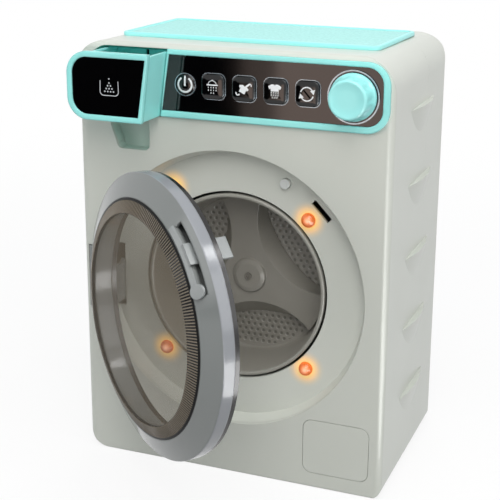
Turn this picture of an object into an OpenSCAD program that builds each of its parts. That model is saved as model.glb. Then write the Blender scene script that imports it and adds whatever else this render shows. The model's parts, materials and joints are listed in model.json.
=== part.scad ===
// Toy front-loading washing machine, in millimetres.
// +X is to the right, -Y is to the front and +Z is up.
// The origin is on the floor, under the middle of the cabinet.
// A "front" value is a distance in front of the cabinet's middle plane, so y = -front.

/* [Cabinet] */
// Width of the cabinet at its front
case_w = 214; // [206:1:230]
// Depth of the cabinet
case_d = 140; // [136:1:170]
// Height of the cabinet without its top cover
case_h = 285; // [280:1:300]
// How much each side draws in towards the back
case_taper = 5; // [0:0.5:6]
// Wall thickness of both shells
wall = 2.4; // [2:0.1:2.8]
// Radius of the two top corners
top_corner_r = 21; // [18:1:26]
// Radius of the bottom left corner
left_corner_r = 18; // [10:1:20]
// Radius of the bottom right corner
right_corner_r = 8; // [6:1:16]
// Radius of the left front edge
left_edge_r = 7; // [4:0.5:8]
// Radius of the right front edge
right_edge_r = 4; // [3:0.5:7]
// Radius of the top front edge
top_edge_r = 4.5; // [3:0.5:6]
// Radius of the top back edge
back_edge_r = 12; // [6:0.5:14]
// Radius of the two upright back edges
back_corner_r = 5; // [4:0.5:8]
// Distance of the shell seam behind the middle plane
seam_back = 17; // [14:1:24]

/* [Side louvres] */
// Number of louvres on each side
louvre_count = 5; // [1:1:5]
// Height of the lowest louvre's ledge
louvre_low = 53.9; // [30:0.1:60]
// Height from the highest louvre's ledge up to the cabinet's top
louvre_top_drop = 37.9; // [36:0.1:56]
// Length of a louvre
louvre_l = 64; // [40:1:80]
// How far a louvre's ledge stands out
louvre_rise = 4; // [2:0.1:5]
// Height over which a louvre fades into the wall
louvre_fade = 18; // [12:1:26]

/* [Top cover] */
// Width of the top cover
cover_w = 176; // [150:1:178]
// Depth of the top cover
cover_d = 85; // [60:1:90]
// Distance of the top cover's middle in front of the cabinet's middle
cover_front = 1; // [0:0.5:8]
// Thickness of the top cover with its raised border
cover_t = 2.6; // [2:0.1:6]
// Width of the top cover's raised border
cover_border = 3; // [2:0.5:6]

/* [Control panel] */
// Distance of the panel's top edge under the cabinet's top
panel_drop = 2.7; // [2.5:0.1:4]
// Height of the panel's bezel
panel_h = 42.7; // [40:0.1:44]
// Distance of the bezel's right edge from the cabinet's right side
panel_margin = 2.5; // [2.5:0.1:6]
// Place of the bezel's left edge at its top, left of the middle
panel_left_top = 40.2; // [38:0.1:41]
// Place of the bezel's left edge at its bottom, left of the middle
panel_left_low = 45.6; // [42:0.1:46]
// Radius of the bezel's right corners
panel_r = 14.5; // [8:0.5:16]
// How far the bezel stands out
bezel_rise = 2; // [1.5:0.1:3]
// Width of the bezel's band at the top and at the right
bezel_band = 3.2; // [2.5:0.1:4]
// Width of the bezel's band at the bottom
bezel_low_band = 4.2; // [3:0.1:5]
// Thickness of the glossy fascia
fascia_t = 1.7; // [1.4:0.1:2]

/* [Buttons] */
// Number of square buttons
button_count = 4; // [1:1:4]
// From the power button's middle to the first square button's middle
first_step = 19.4; // [18.9:0.1:20]
// From the last square button's middle to the knob's middle
knob_spacing = 28.7; // [27:0.1:30]
// Height from the middle of the buttons up to the cabinet's top
button_drop = 24; // [22.5:0.1:25.5]
// Width of a square button's cap
button_w = 14.8; // [12:0.1:15]
// Height of a square button's cap
button_h = 15.3; // [12:0.1:15.6]
// Corner radius of a square button
button_r = 3.6; // [2:0.1:5]
// From the panel's upper left end to the power button's middle
power_inset = 11.8; // [11.3:0.1:12.7]
// Diameter of the power button's cap
power_dia = 13; // [10:0.1:13.5]
// Travel of every button
button_travel = 1.5; // [0.8:0.1:1.6]

/* [Knob] */
// From the knob's middle to the panel's right end
knob_inset = 22.7; // [22:0.1:25]
// Diameter of the knob's base
knob_dia = 29; // [24:0.5:29.5]
// Diameter of the knob's front face
knob_face_dia = 24; // [18:0.5:25]
// Height of the knob
knob_h = 12.8; // [10:0.1:16]
// Diameter of the knob's shaft
knob_shaft_dia = 6; // [5:0.1:7]
// Outer diameter of the bright ring round the knob
knob_ring_dia = 32.6; // [32:0.1:34]

/* [Drawer] */
// Distance of the drawer's left edge from the cabinet's left side
drawer_margin = 9.5; // [9:0.1:12]
// Radius of the drawer's left corners
drawer_r = 14; // [8:0.5:15]
// Width of the teal rim round the drawer's dark plate
drawer_rim = 3.4; // [2.5:0.1:5]
// Width of the same rim along the plate's leaning side
drawer_lean_rim = 2; // [1.6:0.1:5]
// Length of the tray behind the drawer's face
tray_l = 50; // [40:1:56]
// Wall thickness of the tray and its guide
tray_wall = 1.6; // [1.2:0.1:1.8]
// How far the drawer is pulled out
drawer_out = 26; // [0:1:30]

/* [Door recess and drum opening] */
// How far the door's middle lies above the middle of the front under the panel
door_lift = 8.5; // [7:0.1:9.5]
// From the edge of the door recess to the cabinet's side
recess_side = 14.5; // [14:0.1:14.7]
// How much the recess narrows from its edge to its floor, on the radius
recess_draft = 3.5; // [3.2:0.1:3.7]
// Depth of the recess
recess_d = 11.8; // [11.6:0.1:12.6]
// Width of the recess's floor, from its outer edge to the drum opening
recess_floor_w = 25.2; // [25:0.1:25.4]
// From the drum opening's edge to the middle of each lamp
lamp_inset = 7.2; // [7.1:0.1:8.2]
// Diameter of a lamp's lens
lamp_dia = 9.2; // [7:0.1:9.4]

/* [Door] */
// From the edge of the recess to the door's edge, on the radius
door_gap = 3.4; // [3.2:0.1:3.8]
// Width of the ring's sloping face, on the radius
ring_band = 14.7; // [14.2:0.1:15]
// How far the ring's crease stands in front of the cabinet
crease_front = 6.4; // [6:0.1:8]
// How far the ring's face rises from the crease to the window
face_rise = 6.9; // [5:0.1:8]
// Width of the window's ribbed edge, on the radius
rib_band = 9.4; // [7.5:0.1:19]
// How far the window's clear middle rises above its edge
window_rise = 3.5; // [2:0.1:5]
// Wall thickness of the door's parts
door_wall = 2; // [1.6:0.1:2.2]
// Angle to which the door stands open
door_open = 36.5; // [0:0.5:95]

/* [Door hinge and latch] */
// From the edge of the recess to the hinge pin
hinge_offset = 5.5; // [5.1:0.1:5.8]
// Diameter of the hinge pin
hinge_pin_dia = 2.5; // [2:0.1:3]
// Height of the hinge arm
hinge_arm_h = 26; // [16:1:27]
// Direction of the latch, up from the right
latch_angle = 44; // [42:0.5:46]
// From the inner edge of the lever's slot to the latch's tongue
tongue_inset = 2.6; // [2.5:0.05:2.7]
// Width of the latch tongue
tongue_w = 13.5; // [8:0.1:14]
// Travel of the latch
latch_travel = 1.2; // [0.6:0.1:1.3]

/* [Drum] */
// From the drum opening's edge to the inside of the drum at its mouth
drum_gap = 4.2; // [4:0.1:5.5]
// How much the drum narrows from its mouth to its floor, on the radius
drum_draft = 4.6; // [3.6:0.1:5.4]
// Depth of the drum's floor behind the cabinet's front
drum_depth = 46; // [44:0.5:47]
// Height of the three-armed rotor above the drum's floor
rotor_h = 9; // [6:0.5:10]
// Radius of the rotor's hub
hub_r = 12; // [9:0.5:14]
// Diameter of the drum's shaft
drum_shaft_dia = 6; // [5:0.1:7]

/* [Drive] */
// Tooth module of the gears
gear_module = 1; // [0.9:0.05:1.05]
// Number of teeth of the drum's gear
gear_teeth = 36; // [30:1:40]
// Number of teeth of the motor's pinion
pinion_teeth = 12; // [12:1:16]
// Diameter of the motor
motor_dia = 24; // [18:0.5:28]
// Length of the motor
motor_l = 30; // [20:1:36]

/* [Batteries and speaker] */
// Diameter of a battery
battery_dia = 14.2; // [10:0.1:14.5]
// Length of a battery
battery_l = 50.2; // [44:0.1:51]
// Number of batteries
battery_count = 3; // [1:1:3]
// Diameter of the speaker
speaker_dia = 36; // [28:1:40]

/* [Hidden] */
$fn = 96;

// Gap between fixed pieces that sit in each other
fit_gap = 0.3;
// Gap between a moving piece and what it passes
run_gap = 0.5;
// Clearance on the radius of a shaft that turns in its bore
bore_gap = 0.05;
// Length past a face by which a cut runs out
past = 1;

shell_white = [0.81, 0.82, 0.79];
teal = [0.5, 0.88, 0.83];
deep_teal = [0.05, 0.55, 0.48];
gloss_black = [0.04, 0.04, 0.05];
ring_grey = [0.57, 0.59, 0.61];
smoke = [0.38, 0.33, 0.28, 0.6];
drum_grey = [0.42, 0.4, 0.37];
bright = [0.85, 0.86, 0.88];
steel = [0.72, 0.73, 0.75];
board_green = [0.1, 0.4, 0.2];
orange = [1, 0.5, 0.15];

front = case_d / 2;
side_angle = atan(case_taper / case_d);
wall_back = front - wall;

// ---- Places on the front ----

panel_top = case_h - panel_drop;
panel_low = panel_top - panel_h;
panel_right = case_w / 2 - panel_margin;
door_z = panel_low / 2 + door_lift;
recess_r = case_w / 2 - recess_side;
recess_floor_r = recess_r - recess_draft;
opening_r = recess_floor_r - recess_floor_w;
lamp_ring_r = opening_r + lamp_inset;
drum_r = opening_r - drum_gap;
drum_floor_r = drum_r - drum_draft;
ring_r = recess_r - door_gap;
ring_face_r = ring_r - ring_band;
window_clear_r = ring_face_r - rib_band;
button_z = case_h - button_drop;
power_x = -panel_left_top + power_inset;
button_x = power_x + first_step;
knob_x = panel_right - knob_inset;
button_pitch = (knob_x - knob_spacing - button_x) / max(button_count - 1, 1);
louvre_pitch = (case_h - louvre_top_drop - louvre_low) / max(louvre_count - 1, 1);
drawer_left = -case_w / 2 + drawer_margin;

// ---- Helpers ----

// Extrudes an outline drawn in x and z from one front value to another.
module slab(from_front, to_front) {
    translate([0, -from_front, 0])
        rotate([90, 0, 0])
            linear_extrude(to_front - from_front) children();
}

// Turns a profile drawn in radius and front value about the door's middle.
module turned() {
    translate([0, 0, door_z])
        rotate([90, 0, 0])
            rotate_extrude() children();
}

// A rod along Y at a place in x and z.
module rod(x, z, dia, from_front, to_front) {
    translate([x, -from_front, z])
        rotate([90, 0, 0])
            cylinder(d = dia, h = to_front - from_front);
}

// Places its children, drawn round the door's middle, at an angle up from the right.
module round_door(angle) {
    translate([0, 0, door_z])
        rotate([0, -angle, 0]) children();
}

// A box between two corners.
module block(low, high) {
    translate(low) cube(high - low);
}

// A rectangle with a radius at each corner: bottom left, bottom right, top right, top left.
module rounded(x0, x1, z0, z1, r) {
    polygon([
        [x0 + r[0], z0], [x1 - r[1], z0], [x1, z0 + r[1]], [x1, z1 - r[2]],
        [x1 - r[2], z1], [x0 + r[3], z1], [x0, z1 - r[3]], [x0, z0 + r[0]]
    ]);
    translate([x0 + r[0], z0 + r[0]]) circle(r[0]);
    translate([x1 - r[1], z0 + r[1]]) circle(r[1]);
    translate([x1 - r[2], z1 - r[2]]) circle(r[2]);
    translate([x0 + r[3], z1 - r[3]]) circle(r[3]);
}

// A panel with one upright side with round corners and one leaning side.
module leaning_panel(side_x, top_x, low_x, z0, z1, r) {
    inner_x = side_x > top_x ? side_x - r : side_x + r;
    points = [
        [low_x, z0], [inner_x, z0], [side_x, z0 + r], [side_x, z1 - r], [inner_x, z1], [top_x, z1]
    ];
    polygon(side_x > top_x ? points : [for (i = [5 : -1 : 0]) points[i]]);
    translate([inner_x, z0 + r]) circle(r);
    translate([inner_x, z1 - r]) circle(r);
}

// ---- Cabinet ----

bottom_edge_r = 1.5;

// The cabinet up to its right side, with that side's round corners, drawn in by g.
module up_to_side(low_r, g) {
    translate([case_w / 2 - g, -front + g, 0])
        rotate([0, 0, side_angle])
            slab(-2 * case_d, case_d)
                rounded(-2 * case_w, 0, g, case_h - g, [1, low_r - g, top_corner_r - g, 1]);
}

// The cabinet's outline from above, drawn in by g.
module plan_outline(g) {
    half_w = case_w / 2 - g;
    back_y = front - g;
    slope = tan(side_angle);
    function centre_x(r, y) = half_w - (y + back_y) * slope - r / cos(side_angle);
    left_r = left_edge_r - g;
    right_r = right_edge_r - g;
    back_r = back_corner_r - g;
    left_c = [-centre_x(left_r, -back_y + left_r), -back_y + left_r];
    right_c = [centre_x(right_r, -back_y + right_r), -back_y + right_r];
    back_c = [centre_x(back_r, back_y - back_r), back_y - back_r];
    polygon([
        [left_c.x, -back_y],
        [right_c.x, -back_y],
        right_c + right_r * [cos(side_angle), sin(side_angle)],
        back_c + back_r * [cos(side_angle), sin(side_angle)],
        [back_c.x, back_y],
        [-back_c.x, back_y],
        [-back_c.x - back_r * cos(side_angle), back_c.y + back_r * sin(side_angle)],
        left_c + left_r * [-cos(side_angle), sin(side_angle)]
    ]);
    translate(left_c) circle(left_r);
    translate(right_c) circle(right_r);
    translate(back_c) circle(back_r);
    translate([-back_c.x, back_c.y]) circle(back_r);
}

// The cabinet's outline from the side, drawn in by g.
module side_outline(g) {
    edge_r = max(bottom_edge_r - g, 0.5);
    rounded(-front + g, front - g, g, case_h - g,
        [edge_r, edge_r, back_edge_r - g, top_edge_r - g]);
}

// The cabinet's whole form, drawn in by g.
module case_form(g) {
    intersection() {
        up_to_side(right_corner_r, g);
        mirror([1, 0, 0]) up_to_side(left_corner_r, g);
        translate([0, 0, -past]) linear_extrude(case_h + 2 * past) plan_outline(g);
        translate([-case_w, 0, 0]) rotate([90, 0, 90]) linear_extrude(2 * case_w) side_outline(g);
    }
}

louvre_y = 3;
louvre_r = (louvre_l * louvre_l / 4 + louvre_rise * louvre_rise) / (2 * louvre_rise);
louvre_tilt = atan(louvre_rise / louvre_fade);

// One louvre on the right side: a leaning cylinder's rim, cut level at its ledge.
module louvre(ledge_z) {
    side_x = case_w / 2 - (front + louvre_y) * tan(side_angle);
    translate([side_x, louvre_y, ledge_z])
        rotate([0, 0, side_angle])
            intersection() {
                translate([louvre_rise, 0, 0])
                    rotate([0, louvre_tilt, 0])
                        translate([-louvre_r, 0, -2 * louvre_fade])
                            cylinder(r = louvre_r, h = 4 * louvre_fade, $fn = 240);
                block([-wall / 2, -louvre_l, -louvre_fade * 1.4], [2 * louvre_rise, louvre_l, 0]);
            }
}

module louvres() {
    for (i = [0 : louvre_count - 1]) {
        ledge_z = louvre_low + i * louvre_pitch;
        louvre(ledge_z);
        mirror([1, 0, 0]) louvre(ledge_z);
    }
}

// Both shells in one, before the seam parts them.
module case_walls() {
    difference() {
        union() {
            case_form(0);
            louvres();
        }
        case_form(wall);
    }
}

// ---- Recess, hinge pocket and scoop of the front shell ----

recess_floor = front - recess_d;
floor_t = 2.2;
floor_back = recess_floor - floor_t;

// The dish that the door closes into.
module recess_walls() {
    turned() polygon([
        [opening_r - past, floor_back], [recess_floor_r + floor_t, floor_back],
        [recess_r + floor_t, wall_back], [opening_r - past, wall_back]
    ]);
}

module recess_space() {
    turned() polygon([
        [0, recess_floor], [recess_floor_r, recess_floor], [recess_r, front],
        [recess_r, front + past], [0, front + past]
    ]);
    turned() square([opening_r, front]);
}

hinge_x = -recess_r - hinge_offset;
hinge_front = front - 0.2;
knuckle_r = 3;
pocket_h = hinge_arm_h + 18;
pocket_left = hinge_x - knuckle_r - 1.2;
pocket_right = -recess_floor_r - 1;
pocket_back = front - 9.2;
arm_mid_z = door_z - 4.3;
pocket_mid_z = door_z - 2.3;
tail_r = 19;
tail_t = 2.8;

module hinge_pocket_walls() {
    block([pocket_left - 2, -wall_back, pocket_mid_z - pocket_h / 2 - 2],
        [pocket_right - 1, -pocket_back + 2, pocket_mid_z + pocket_h / 2 + 2]);
}

// The pocket for the knuckles, and the slot in the floor for the arm's tail.
module hinge_pocket_space() {
    low_z = pocket_mid_z - pocket_h / 2;
    high_z = pocket_mid_z + pocket_h / 2;
    slot_left = hinge_x + sqrt(pow(tail_r - tail_t / 2, 2) - pow(hinge_front - floor_back, 2)) - 1;
    slot_right = hinge_x + sqrt(pow(tail_r + tail_t / 2, 2) - pow(hinge_front - recess_floor, 2)) + run_gap;
    block([pocket_left, -front - past, low_z], [pocket_right + 2, -pocket_back, high_z]);
    block([slot_left, -recess_floor - past, low_z], [slot_right, -floor_back + past, high_z]);
}

scoop_d = 11;
scoop_r = 4;
scoop_left = drawer_left + 15;
scoop_w = 27.8;
scoop_right = scoop_left + scoop_w;
scoop_low = panel_low - 23.6;
guide_low = panel_low - run_gap - tray_wall;

// The finger scoop under the drawer, grown by g.
module scoop_outline(g) {
    polygon([
        [scoop_left - g, panel_low], [scoop_left - g, scoop_low + 15],
        [scoop_left + 4 - g, scoop_low + scoop_r], [scoop_left + 4 + scoop_r - g, scoop_low - g],
        [scoop_right - scoop_r, scoop_low - g], [scoop_right + g, scoop_low + scoop_r],
        [scoop_right + g, panel_low]
    ]);
    translate([scoop_right - scoop_r, scoop_low + scoop_r]) circle(scoop_r + g);
    translate([scoop_left + 4 + scoop_r, scoop_low + scoop_r]) circle(scoop_r + g);
}

module scoop_walls() {
    intersection() {
        slab(front - scoop_d - 2, wall_back) scoop_outline(2);
        block([-case_w, -front, 0], [0, 0, guide_low - fit_gap]);
    }
}

module scoop_space() {
    intersection() {
        slab(front - scoop_d, front + past) scoop_outline(0);
        block([-case_w, -front - past, 0], [0, 0, guide_low - fit_gap - 1.2]);
    }
    slab(wall_back - past, front + past) scoop_outline(0);
}

// ---- Holes in the front wall ----

button_gap = 0.3;
function button_place(i) = button_x + i * button_pitch;
lamp_angles = [45, 135, 225, 315];
pin_ring_r = opening_r + 16.8;
pin_angle = 64.3;
pin_dia = 6.4;
tongue_t = 2;
latch_slot_t = 4;
filter_w = 44.5;
filter_h = 37.3;
filter_right = case_w / 2 - 9;
filter_left = filter_right - filter_w;
filter_low = 10.7;
filter_high = filter_low + filter_h;
filter_r = 6;
filter_t = 1.2;

module button_outline(g) {
    rounded(-button_w / 2 - g, button_w / 2 + g, -button_h / 2 - g, button_h / 2 + g,
        [button_r + g, button_r + g, button_r + g, button_r + g]);
}

// The openings for the buttons and the knob, through the fascia and the wall behind it.
module control_holes() {
    for (i = [0 : button_count - 1])
        translate([button_place(i), 0, button_z])
            slab(wall_back - past, front + 2 * past) button_outline(button_gap);
    rod(power_x, button_z, power_dia + 2 * button_gap, wall_back - past, front + 2 * past);
    rod(knob_x, button_z, knob_shaft_dia + 2, wall_back - past, front + 2 * past);
}

module lamp_places() {
    for (angle = lamp_angles)
        translate([lamp_ring_r * cos(angle), 0, door_z + lamp_ring_r * sin(angle)]) children();
}

module pin_place() {
    translate([pin_ring_r * cos(pin_angle), 0, door_z + pin_ring_r * sin(pin_angle)]) children();
}

module filter_outline(g) {
    r = filter_r + g;
    rounded(filter_left - g, filter_right + g, filter_low - g, filter_high + g, [r, r, r, r]);
}

// ---- Screw bosses ----

boss_low_x = case_w / 2 - 19;
boss_high_x = case_w / 2 - 14;
boss_low_z = 20;
boss_high_z = case_h - 63;
boss_places = [
    [-boss_low_x, boss_low_z], [boss_low_x, boss_low_z],
    [-boss_high_x, boss_high_z], [boss_high_x, boss_high_z]
];
boss_dia = 8.4;
boss_well_dia = 6.4;
boss_seat = seam_back + 12;
screw_dia = 2.4;
screw_head_dia = 5.4;
screw_head_t = 2.2;

board_pillar_x = [(power_x + button_x) / 2, button_place(button_count - 1) + 10.7];
board_pillar_z = [button_z - 12.7, button_z + 12.7];
board_pillar_dia = 4.6;
board_front = wall_back - 5.6;
board_t = 1.6;

module board_pillars() {
    for (x = board_pillar_x, z = board_pillar_z)
        difference() {
            rod(x, z, board_pillar_dia, board_front, wall_back + past / 2);
            rod(x, z, 1.9, board_front - past, wall_back);
        }
}

module front_shell() {
    color(shell_white)
    difference() {
        union() {
            intersection() {
                case_walls();
                block([-case_w, -case_d, -past], [case_w, seam_back, case_h + past]);
            }
            board_pillars();
            for (p = boss_places) rod(p.x, p.y, boss_dia, -seam_back, wall_back + past / 2);
        }
        recess_space();
        hinge_pocket_space();
        scoop_space();
        slab(wall_back - past, front + past) drawer_outline(fit_gap);
        slab(front - fascia_seat, front + past) fascia_outline(fit_gap / 2);
        control_holes();
        slab(front - filter_t, front + past) filter_outline(fit_gap);
        for (p = boss_places)
            rod(p.x, p.y, screw_dia + 0.1, -seam_back - past, -seam_back + 22);
    }
}

// The round dish behind the front wall, and the hinge's pocket beside it.
module recess_dish() {
    color(shell_white)
    difference() {
        union() {
            recess_walls();
            intersection() {
                hinge_pocket_walls();
                case_form(wall);
            }
        }
        recess_space();
        hinge_pocket_space();
        lamp_places() rod(0, 0, lamp_dia + 2 * fit_gap / 2, floor_back - past, front);
        pin_place() rod(0, 0, pin_dia + 2 * fit_gap, floor_back - past, front);
        round_door(latch_angle)
            block([tongue_r - latch_slot_t / 2 - 0.3, -front, -tongue_w / 2 - 1.2],
                [tongue_r + latch_slot_t / 2 - 0.3, -floor_back + past, tongue_w / 2 + 1.2]);
        tub_ear_places() rod(tub_ear_r, 0, screw_dia, floor_back - past, floor_back + 1.4);
    }
}

module scoop_cup() {
    color(shell_white)
    difference() {
        scoop_walls();
        scoop_space();
    }
}

// ---- Rear shell ----

box_wall = 1.8;
box_half_w = battery_l / 2 + 2;
battery_pitch = battery_dia + 2.2;
box_low = 25.5;
box_high = box_low + battery_count * battery_pitch + 3;
box_d = battery_dia + 1.8;
cover_lip = 1.6;
cover_tab = 11;
battery_cover_t = 1.8;
cover_screw_z = box_high + 6.5;
speaker_x = -52;
speaker_z = case_h - 80;
grille_slot = 2.4;
grille_pitch = 5;

module battery_cover_outline(g) {
    half_w = box_half_w + cover_lip + g;
    rounded(-half_w, half_w, box_low - cover_lip - g, box_high + cover_tab + g, [3, 3, 3, 3]);
}

module grille_slots() {
    for (i = [-2 : 2]) {
        half_l = sqrt(pow(speaker_dia / 2 - 2, 2) - pow(i * grille_pitch, 2)) - 3;
        z = speaker_z + i * grille_pitch;
        block([speaker_x - half_l, wall_back - past, z - grille_slot / 2],
            [speaker_x + half_l, front + past, z + grille_slot / 2]);
    }
}

module rear_shell() {
    color(shell_white)
    difference() {
        union() {
            intersection() {
                case_walls();
                block([-case_w, seam_back, -past], [case_w, case_d, case_h + past]);
            }
            for (p = boss_places) rod(p.x, p.y, boss_dia + 1, -wall_back - past / 2, -seam_back);
            rod(0, cover_screw_z, 7, -wall_back - past / 2, -wall_back + 9);
        }
        for (p = boss_places) {
            rod(p.x, p.y, boss_well_dia, -front - past, -boss_seat);
            rod(p.x, p.y, screw_dia + 0.6, -front, -seam_back + past);
        }
        block([-box_half_w, wall_back - past, box_low], [box_half_w, front + past, box_high]);
        slab(-front - past, -front + battery_cover_t) battery_cover_outline(fit_gap);
        rod(0, cover_screw_z, screw_dia + 0.1, -front, -wall_back + 8);
        grille_slots();
    }
}

module screw(x, z, head_front, length) {
    rod(x, z, screw_dia, head_front, head_front + length);
    difference() {
        rod(x, z, screw_head_dia, head_front - screw_head_t, head_front);
        translate([x, -head_front + screw_head_t, z]) {
            cube([3.2, 2, 0.8], center = true);
            cube([0.8, 2, 3.2], center = true);
        }
    }
}

module case_screws() {
    color(steel)
    for (p = boss_places) screw(p.x, p.y, -boss_seat, 24);
}

// ---- Top cover and filter cover ----

cover_r = 6;

module top_cover() {
    half_w = cover_w / 2;
    front_y = -cover_front - cover_d / 2;
    back_y = -cover_front + cover_d / 2;
    inner_r = cover_r - cover_border / 2;
    color(teal)
    difference() {
        translate([0, 0, case_h]) linear_extrude(cover_t)
            rounded(-half_w, half_w, front_y, back_y, [cover_r, cover_r, cover_r, cover_r]);
        translate([0, 0, case_h + cover_t - 0.8]) linear_extrude(past)
            rounded(-half_w + cover_border, half_w - cover_border, front_y + cover_border,
                back_y - cover_border, [inner_r, inner_r, inner_r, inner_r]);
    }
}

module filter_cover() {
    color(shell_white)
    slab(front - filter_t, front) filter_outline(0);
}

// ---- Control panel ----

fascia_seat = 0.8;
fascia_front = front - fascia_seat + fascia_t;
left_band = 0.9;

module bezel_outline() {
    leaning_panel(panel_right, -panel_left_top, -panel_left_low, panel_low, panel_top, panel_r);
}

module fascia_outline(g) {
    leaning_panel(panel_right - bezel_band - 1 + g, -panel_left_top + left_band - g,
        -panel_left_low + left_band - g, panel_low + bezel_low_band - g,
        panel_top - bezel_band + g, panel_r - bezel_band - 1 + g);
}

module control_bezel() {
    color(teal)
    difference() {
        slab(front, front + bezel_rise) bezel_outline();
        slab(front - past, front + bezel_rise + past) fascia_outline(fit_gap / 2);
    }
}

module fascia() {
    color(gloss_black)
    difference() {
        slab(front - fascia_seat, fascia_front) fascia_outline(0);
        control_holes();
    }
}

trim_w = 0.45;
trim_t = 0.35;

module button_trims() {
    color(bright) {
        for (i = [0 : button_count - 1])
            translate([button_place(i), 0, button_z])
                slab(fascia_front, fascia_front + trim_t)
                    difference() {
                        button_outline(button_gap + trim_w);
                        button_outline(button_gap);
                    }
        difference() {
            rod(power_x, button_z, power_dia + 2 * (button_gap + trim_w), fascia_front,
                fascia_front + trim_t);
            rod(power_x, button_z, power_dia + 2 * button_gap, fascia_front - past,
                fascia_front + past);
        }
    }
}

module knob_trim() {
    color(bright)
    difference() {
        rod(knob_x, button_z, knob_ring_dia, fascia_front, fascia_front + 0.9);
        rod(knob_x, button_z, knob_ring_dia - 1.7, fascia_front - past, fascia_front + 2);
    }
}

cap_rise = 0.7;
flange_front = wall_back - fit_gap;
flange_t = 1.8;
flange_w = 1.6;
cap_back = flange_front - flange_t;
switch_front = cap_back - button_travel - fit_gap;

// One square cap with the flange that keeps it behind the wall.
module square_button(i) {
    color(gloss_black)
    translate([button_place(i), 0, button_z]) {
        slab(flange_front - 0.1, fascia_front + cap_rise) button_outline(0);
        slab(cap_back, flange_front) button_outline(flange_w);
    }
}

module button_1() { square_button(0); }
module button_2() { square_button(1); }
module button_3() { square_button(2); }
module button_4() { square_button(3); }

module power_button() {
    color(gloss_black) {
        rod(power_x, button_z, power_dia, flange_front - 0.1, fascia_front + cap_rise);
        rod(power_x, button_z, power_dia + 2 * flange_w, cap_back, flange_front);
    }
}

rotary_w = 13;
rotary_front = wall_back - fit_gap;

module main_board() {
    x0 = power_x - 9;
    x1 = knob_x + 12;
    color(board_green)
    difference() {
        block([x0, -board_front, button_z - 15.5], [x1, -board_front + board_t, button_z + 15.5]);
        for (x = board_pillar_x, z = board_pillar_z)
            rod(x, z, screw_dia + 0.4, board_front - board_t - past, board_front + past);
    }
}

module board_screws() {
    color(steel)
    for (x = board_pillar_x, z = board_pillar_z) {
        rod(x, z, 1.8, board_front - board_t, board_front + 4);
        rod(x, z, 4, board_front - board_t - 1.4, board_front - board_t);
    }
}

module button_switches() {
    color(gloss_black)
    for (x = concat([power_x], [for (i = [0 : button_count - 1]) button_place(i)]))
        block([x - 3, -switch_front, button_z - 3], [x + 3, -board_front, button_z + 3]);
}

module rotary_switch() {
    color([0.35, 0.36, 0.38])
    difference() {
        block([knob_x - rotary_w / 2, -rotary_front, button_z - rotary_w / 2],
            [knob_x + rotary_w / 2, -board_front, button_z + rotary_w / 2]);
        rod(knob_x, button_z, knob_shaft_dia + 2 * bore_gap, board_front + 0.8, front);
    }
}

knob_back = fascia_front + 0.4;
knob_front = knob_back + knob_h;
shaft_end = knob_front - 3.5;

module knob() {
    base_r = knob_dia / 2;
    face_r = knob_face_dia / 2;
    color(teal)
    translate([knob_x, 0, button_z])
        rotate([90, 0, 0])
            rotate_extrude() polygon([
                [knob_shaft_dia / 2, knob_back], [base_r, knob_back], [base_r, knob_back + 2],
                [base_r - 1.2, knob_back + 3.4], [face_r, knob_front - 1],
                [face_r - 1, knob_front], [0, knob_front], [0, shaft_end],
                [knob_shaft_dia / 2, shaft_end]
            ]);
}

module knob_shaft() {
    color(steel) rod(knob_x, button_z, knob_shaft_dia, board_front + 1, shaft_end);
}

// ---- Drawer ----

drawer_top = panel_top - 0.4;
drawer_low = panel_low - 0.4;
tray_left = drawer_left + 5;
tray_top = drawer_top - 1.4;
tray_r = 8;
tray_mid = (tray_left - panel_left_top - 0.5) / 2;
lean_gap = 0.5;
face_t = 3.4;
face_back = front + bezel_rise - face_t;
tray_back = face_back - tray_l;

module drawer_outline(g) {
    leaning_panel(drawer_left - g, -panel_left_top - lean_gap + g, -panel_left_low - lean_gap + g,
        drawer_low - g, drawer_top + g, drawer_r + g);
}

module plate_outline(g) {
    leaning_panel(drawer_left + drawer_rim - g, -panel_left_top - lean_gap - drawer_lean_rim + g,
        -panel_left_low - lean_gap - drawer_lean_rim + g, drawer_low + drawer_rim - g,
        drawer_top - drawer_rim + g, drawer_r - drawer_rim + g);
}

module tray_outline(g) {
    leaning_panel(tray_left - g, -panel_left_top - lean_gap - 0.4 + g,
        -panel_left_low - lean_gap - 0.4 + g, drawer_low + 0.4 - g, tray_top + g, tray_r + g);
}

module drawn_out() {
    translate([0, -drawer_out, 0]) children();
}

module drawer_front() {
    color(teal)
    drawn_out()
        difference() {
            slab(face_back, front + bezel_rise) drawer_outline(0);
            slab(front + bezel_rise - 1.8, front + bezel_rise + past) plate_outline(0);
        }
}

module drawer_plate() {
    color(gloss_black)
    drawn_out()
        slab(front + bezel_rise - 1.8, front + bezel_rise - 0.8) plate_outline(-0.1);
}

module drawer_tray() {
    color(teal)
    drawn_out()
        difference() {
            slab(tray_back, face_back) tray_outline(0);
            slab(tray_back + tray_wall, face_back + past) tray_outline(-tray_wall);
            // The tray is open at the top.
            block([tray_left + tray_r, -face_back - past, tray_top - tray_r],
                [-panel_left_top - lean_gap - 0.4 - tray_wall * 1.2, -tray_back - tray_wall,
                tray_top + past]);
            // Two finger slots stand in the back wall.
            for (x = [tray_mid - 0.4, tray_mid + 13.6])
                block([x - 1, -tray_back - tray_wall - past, tray_top - 18],
                    [x + 1, -tray_back + past, tray_top - 3]);
        }
}

guide_back = tray_back - run_gap;
guide_flange_t = 1.4;

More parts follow.
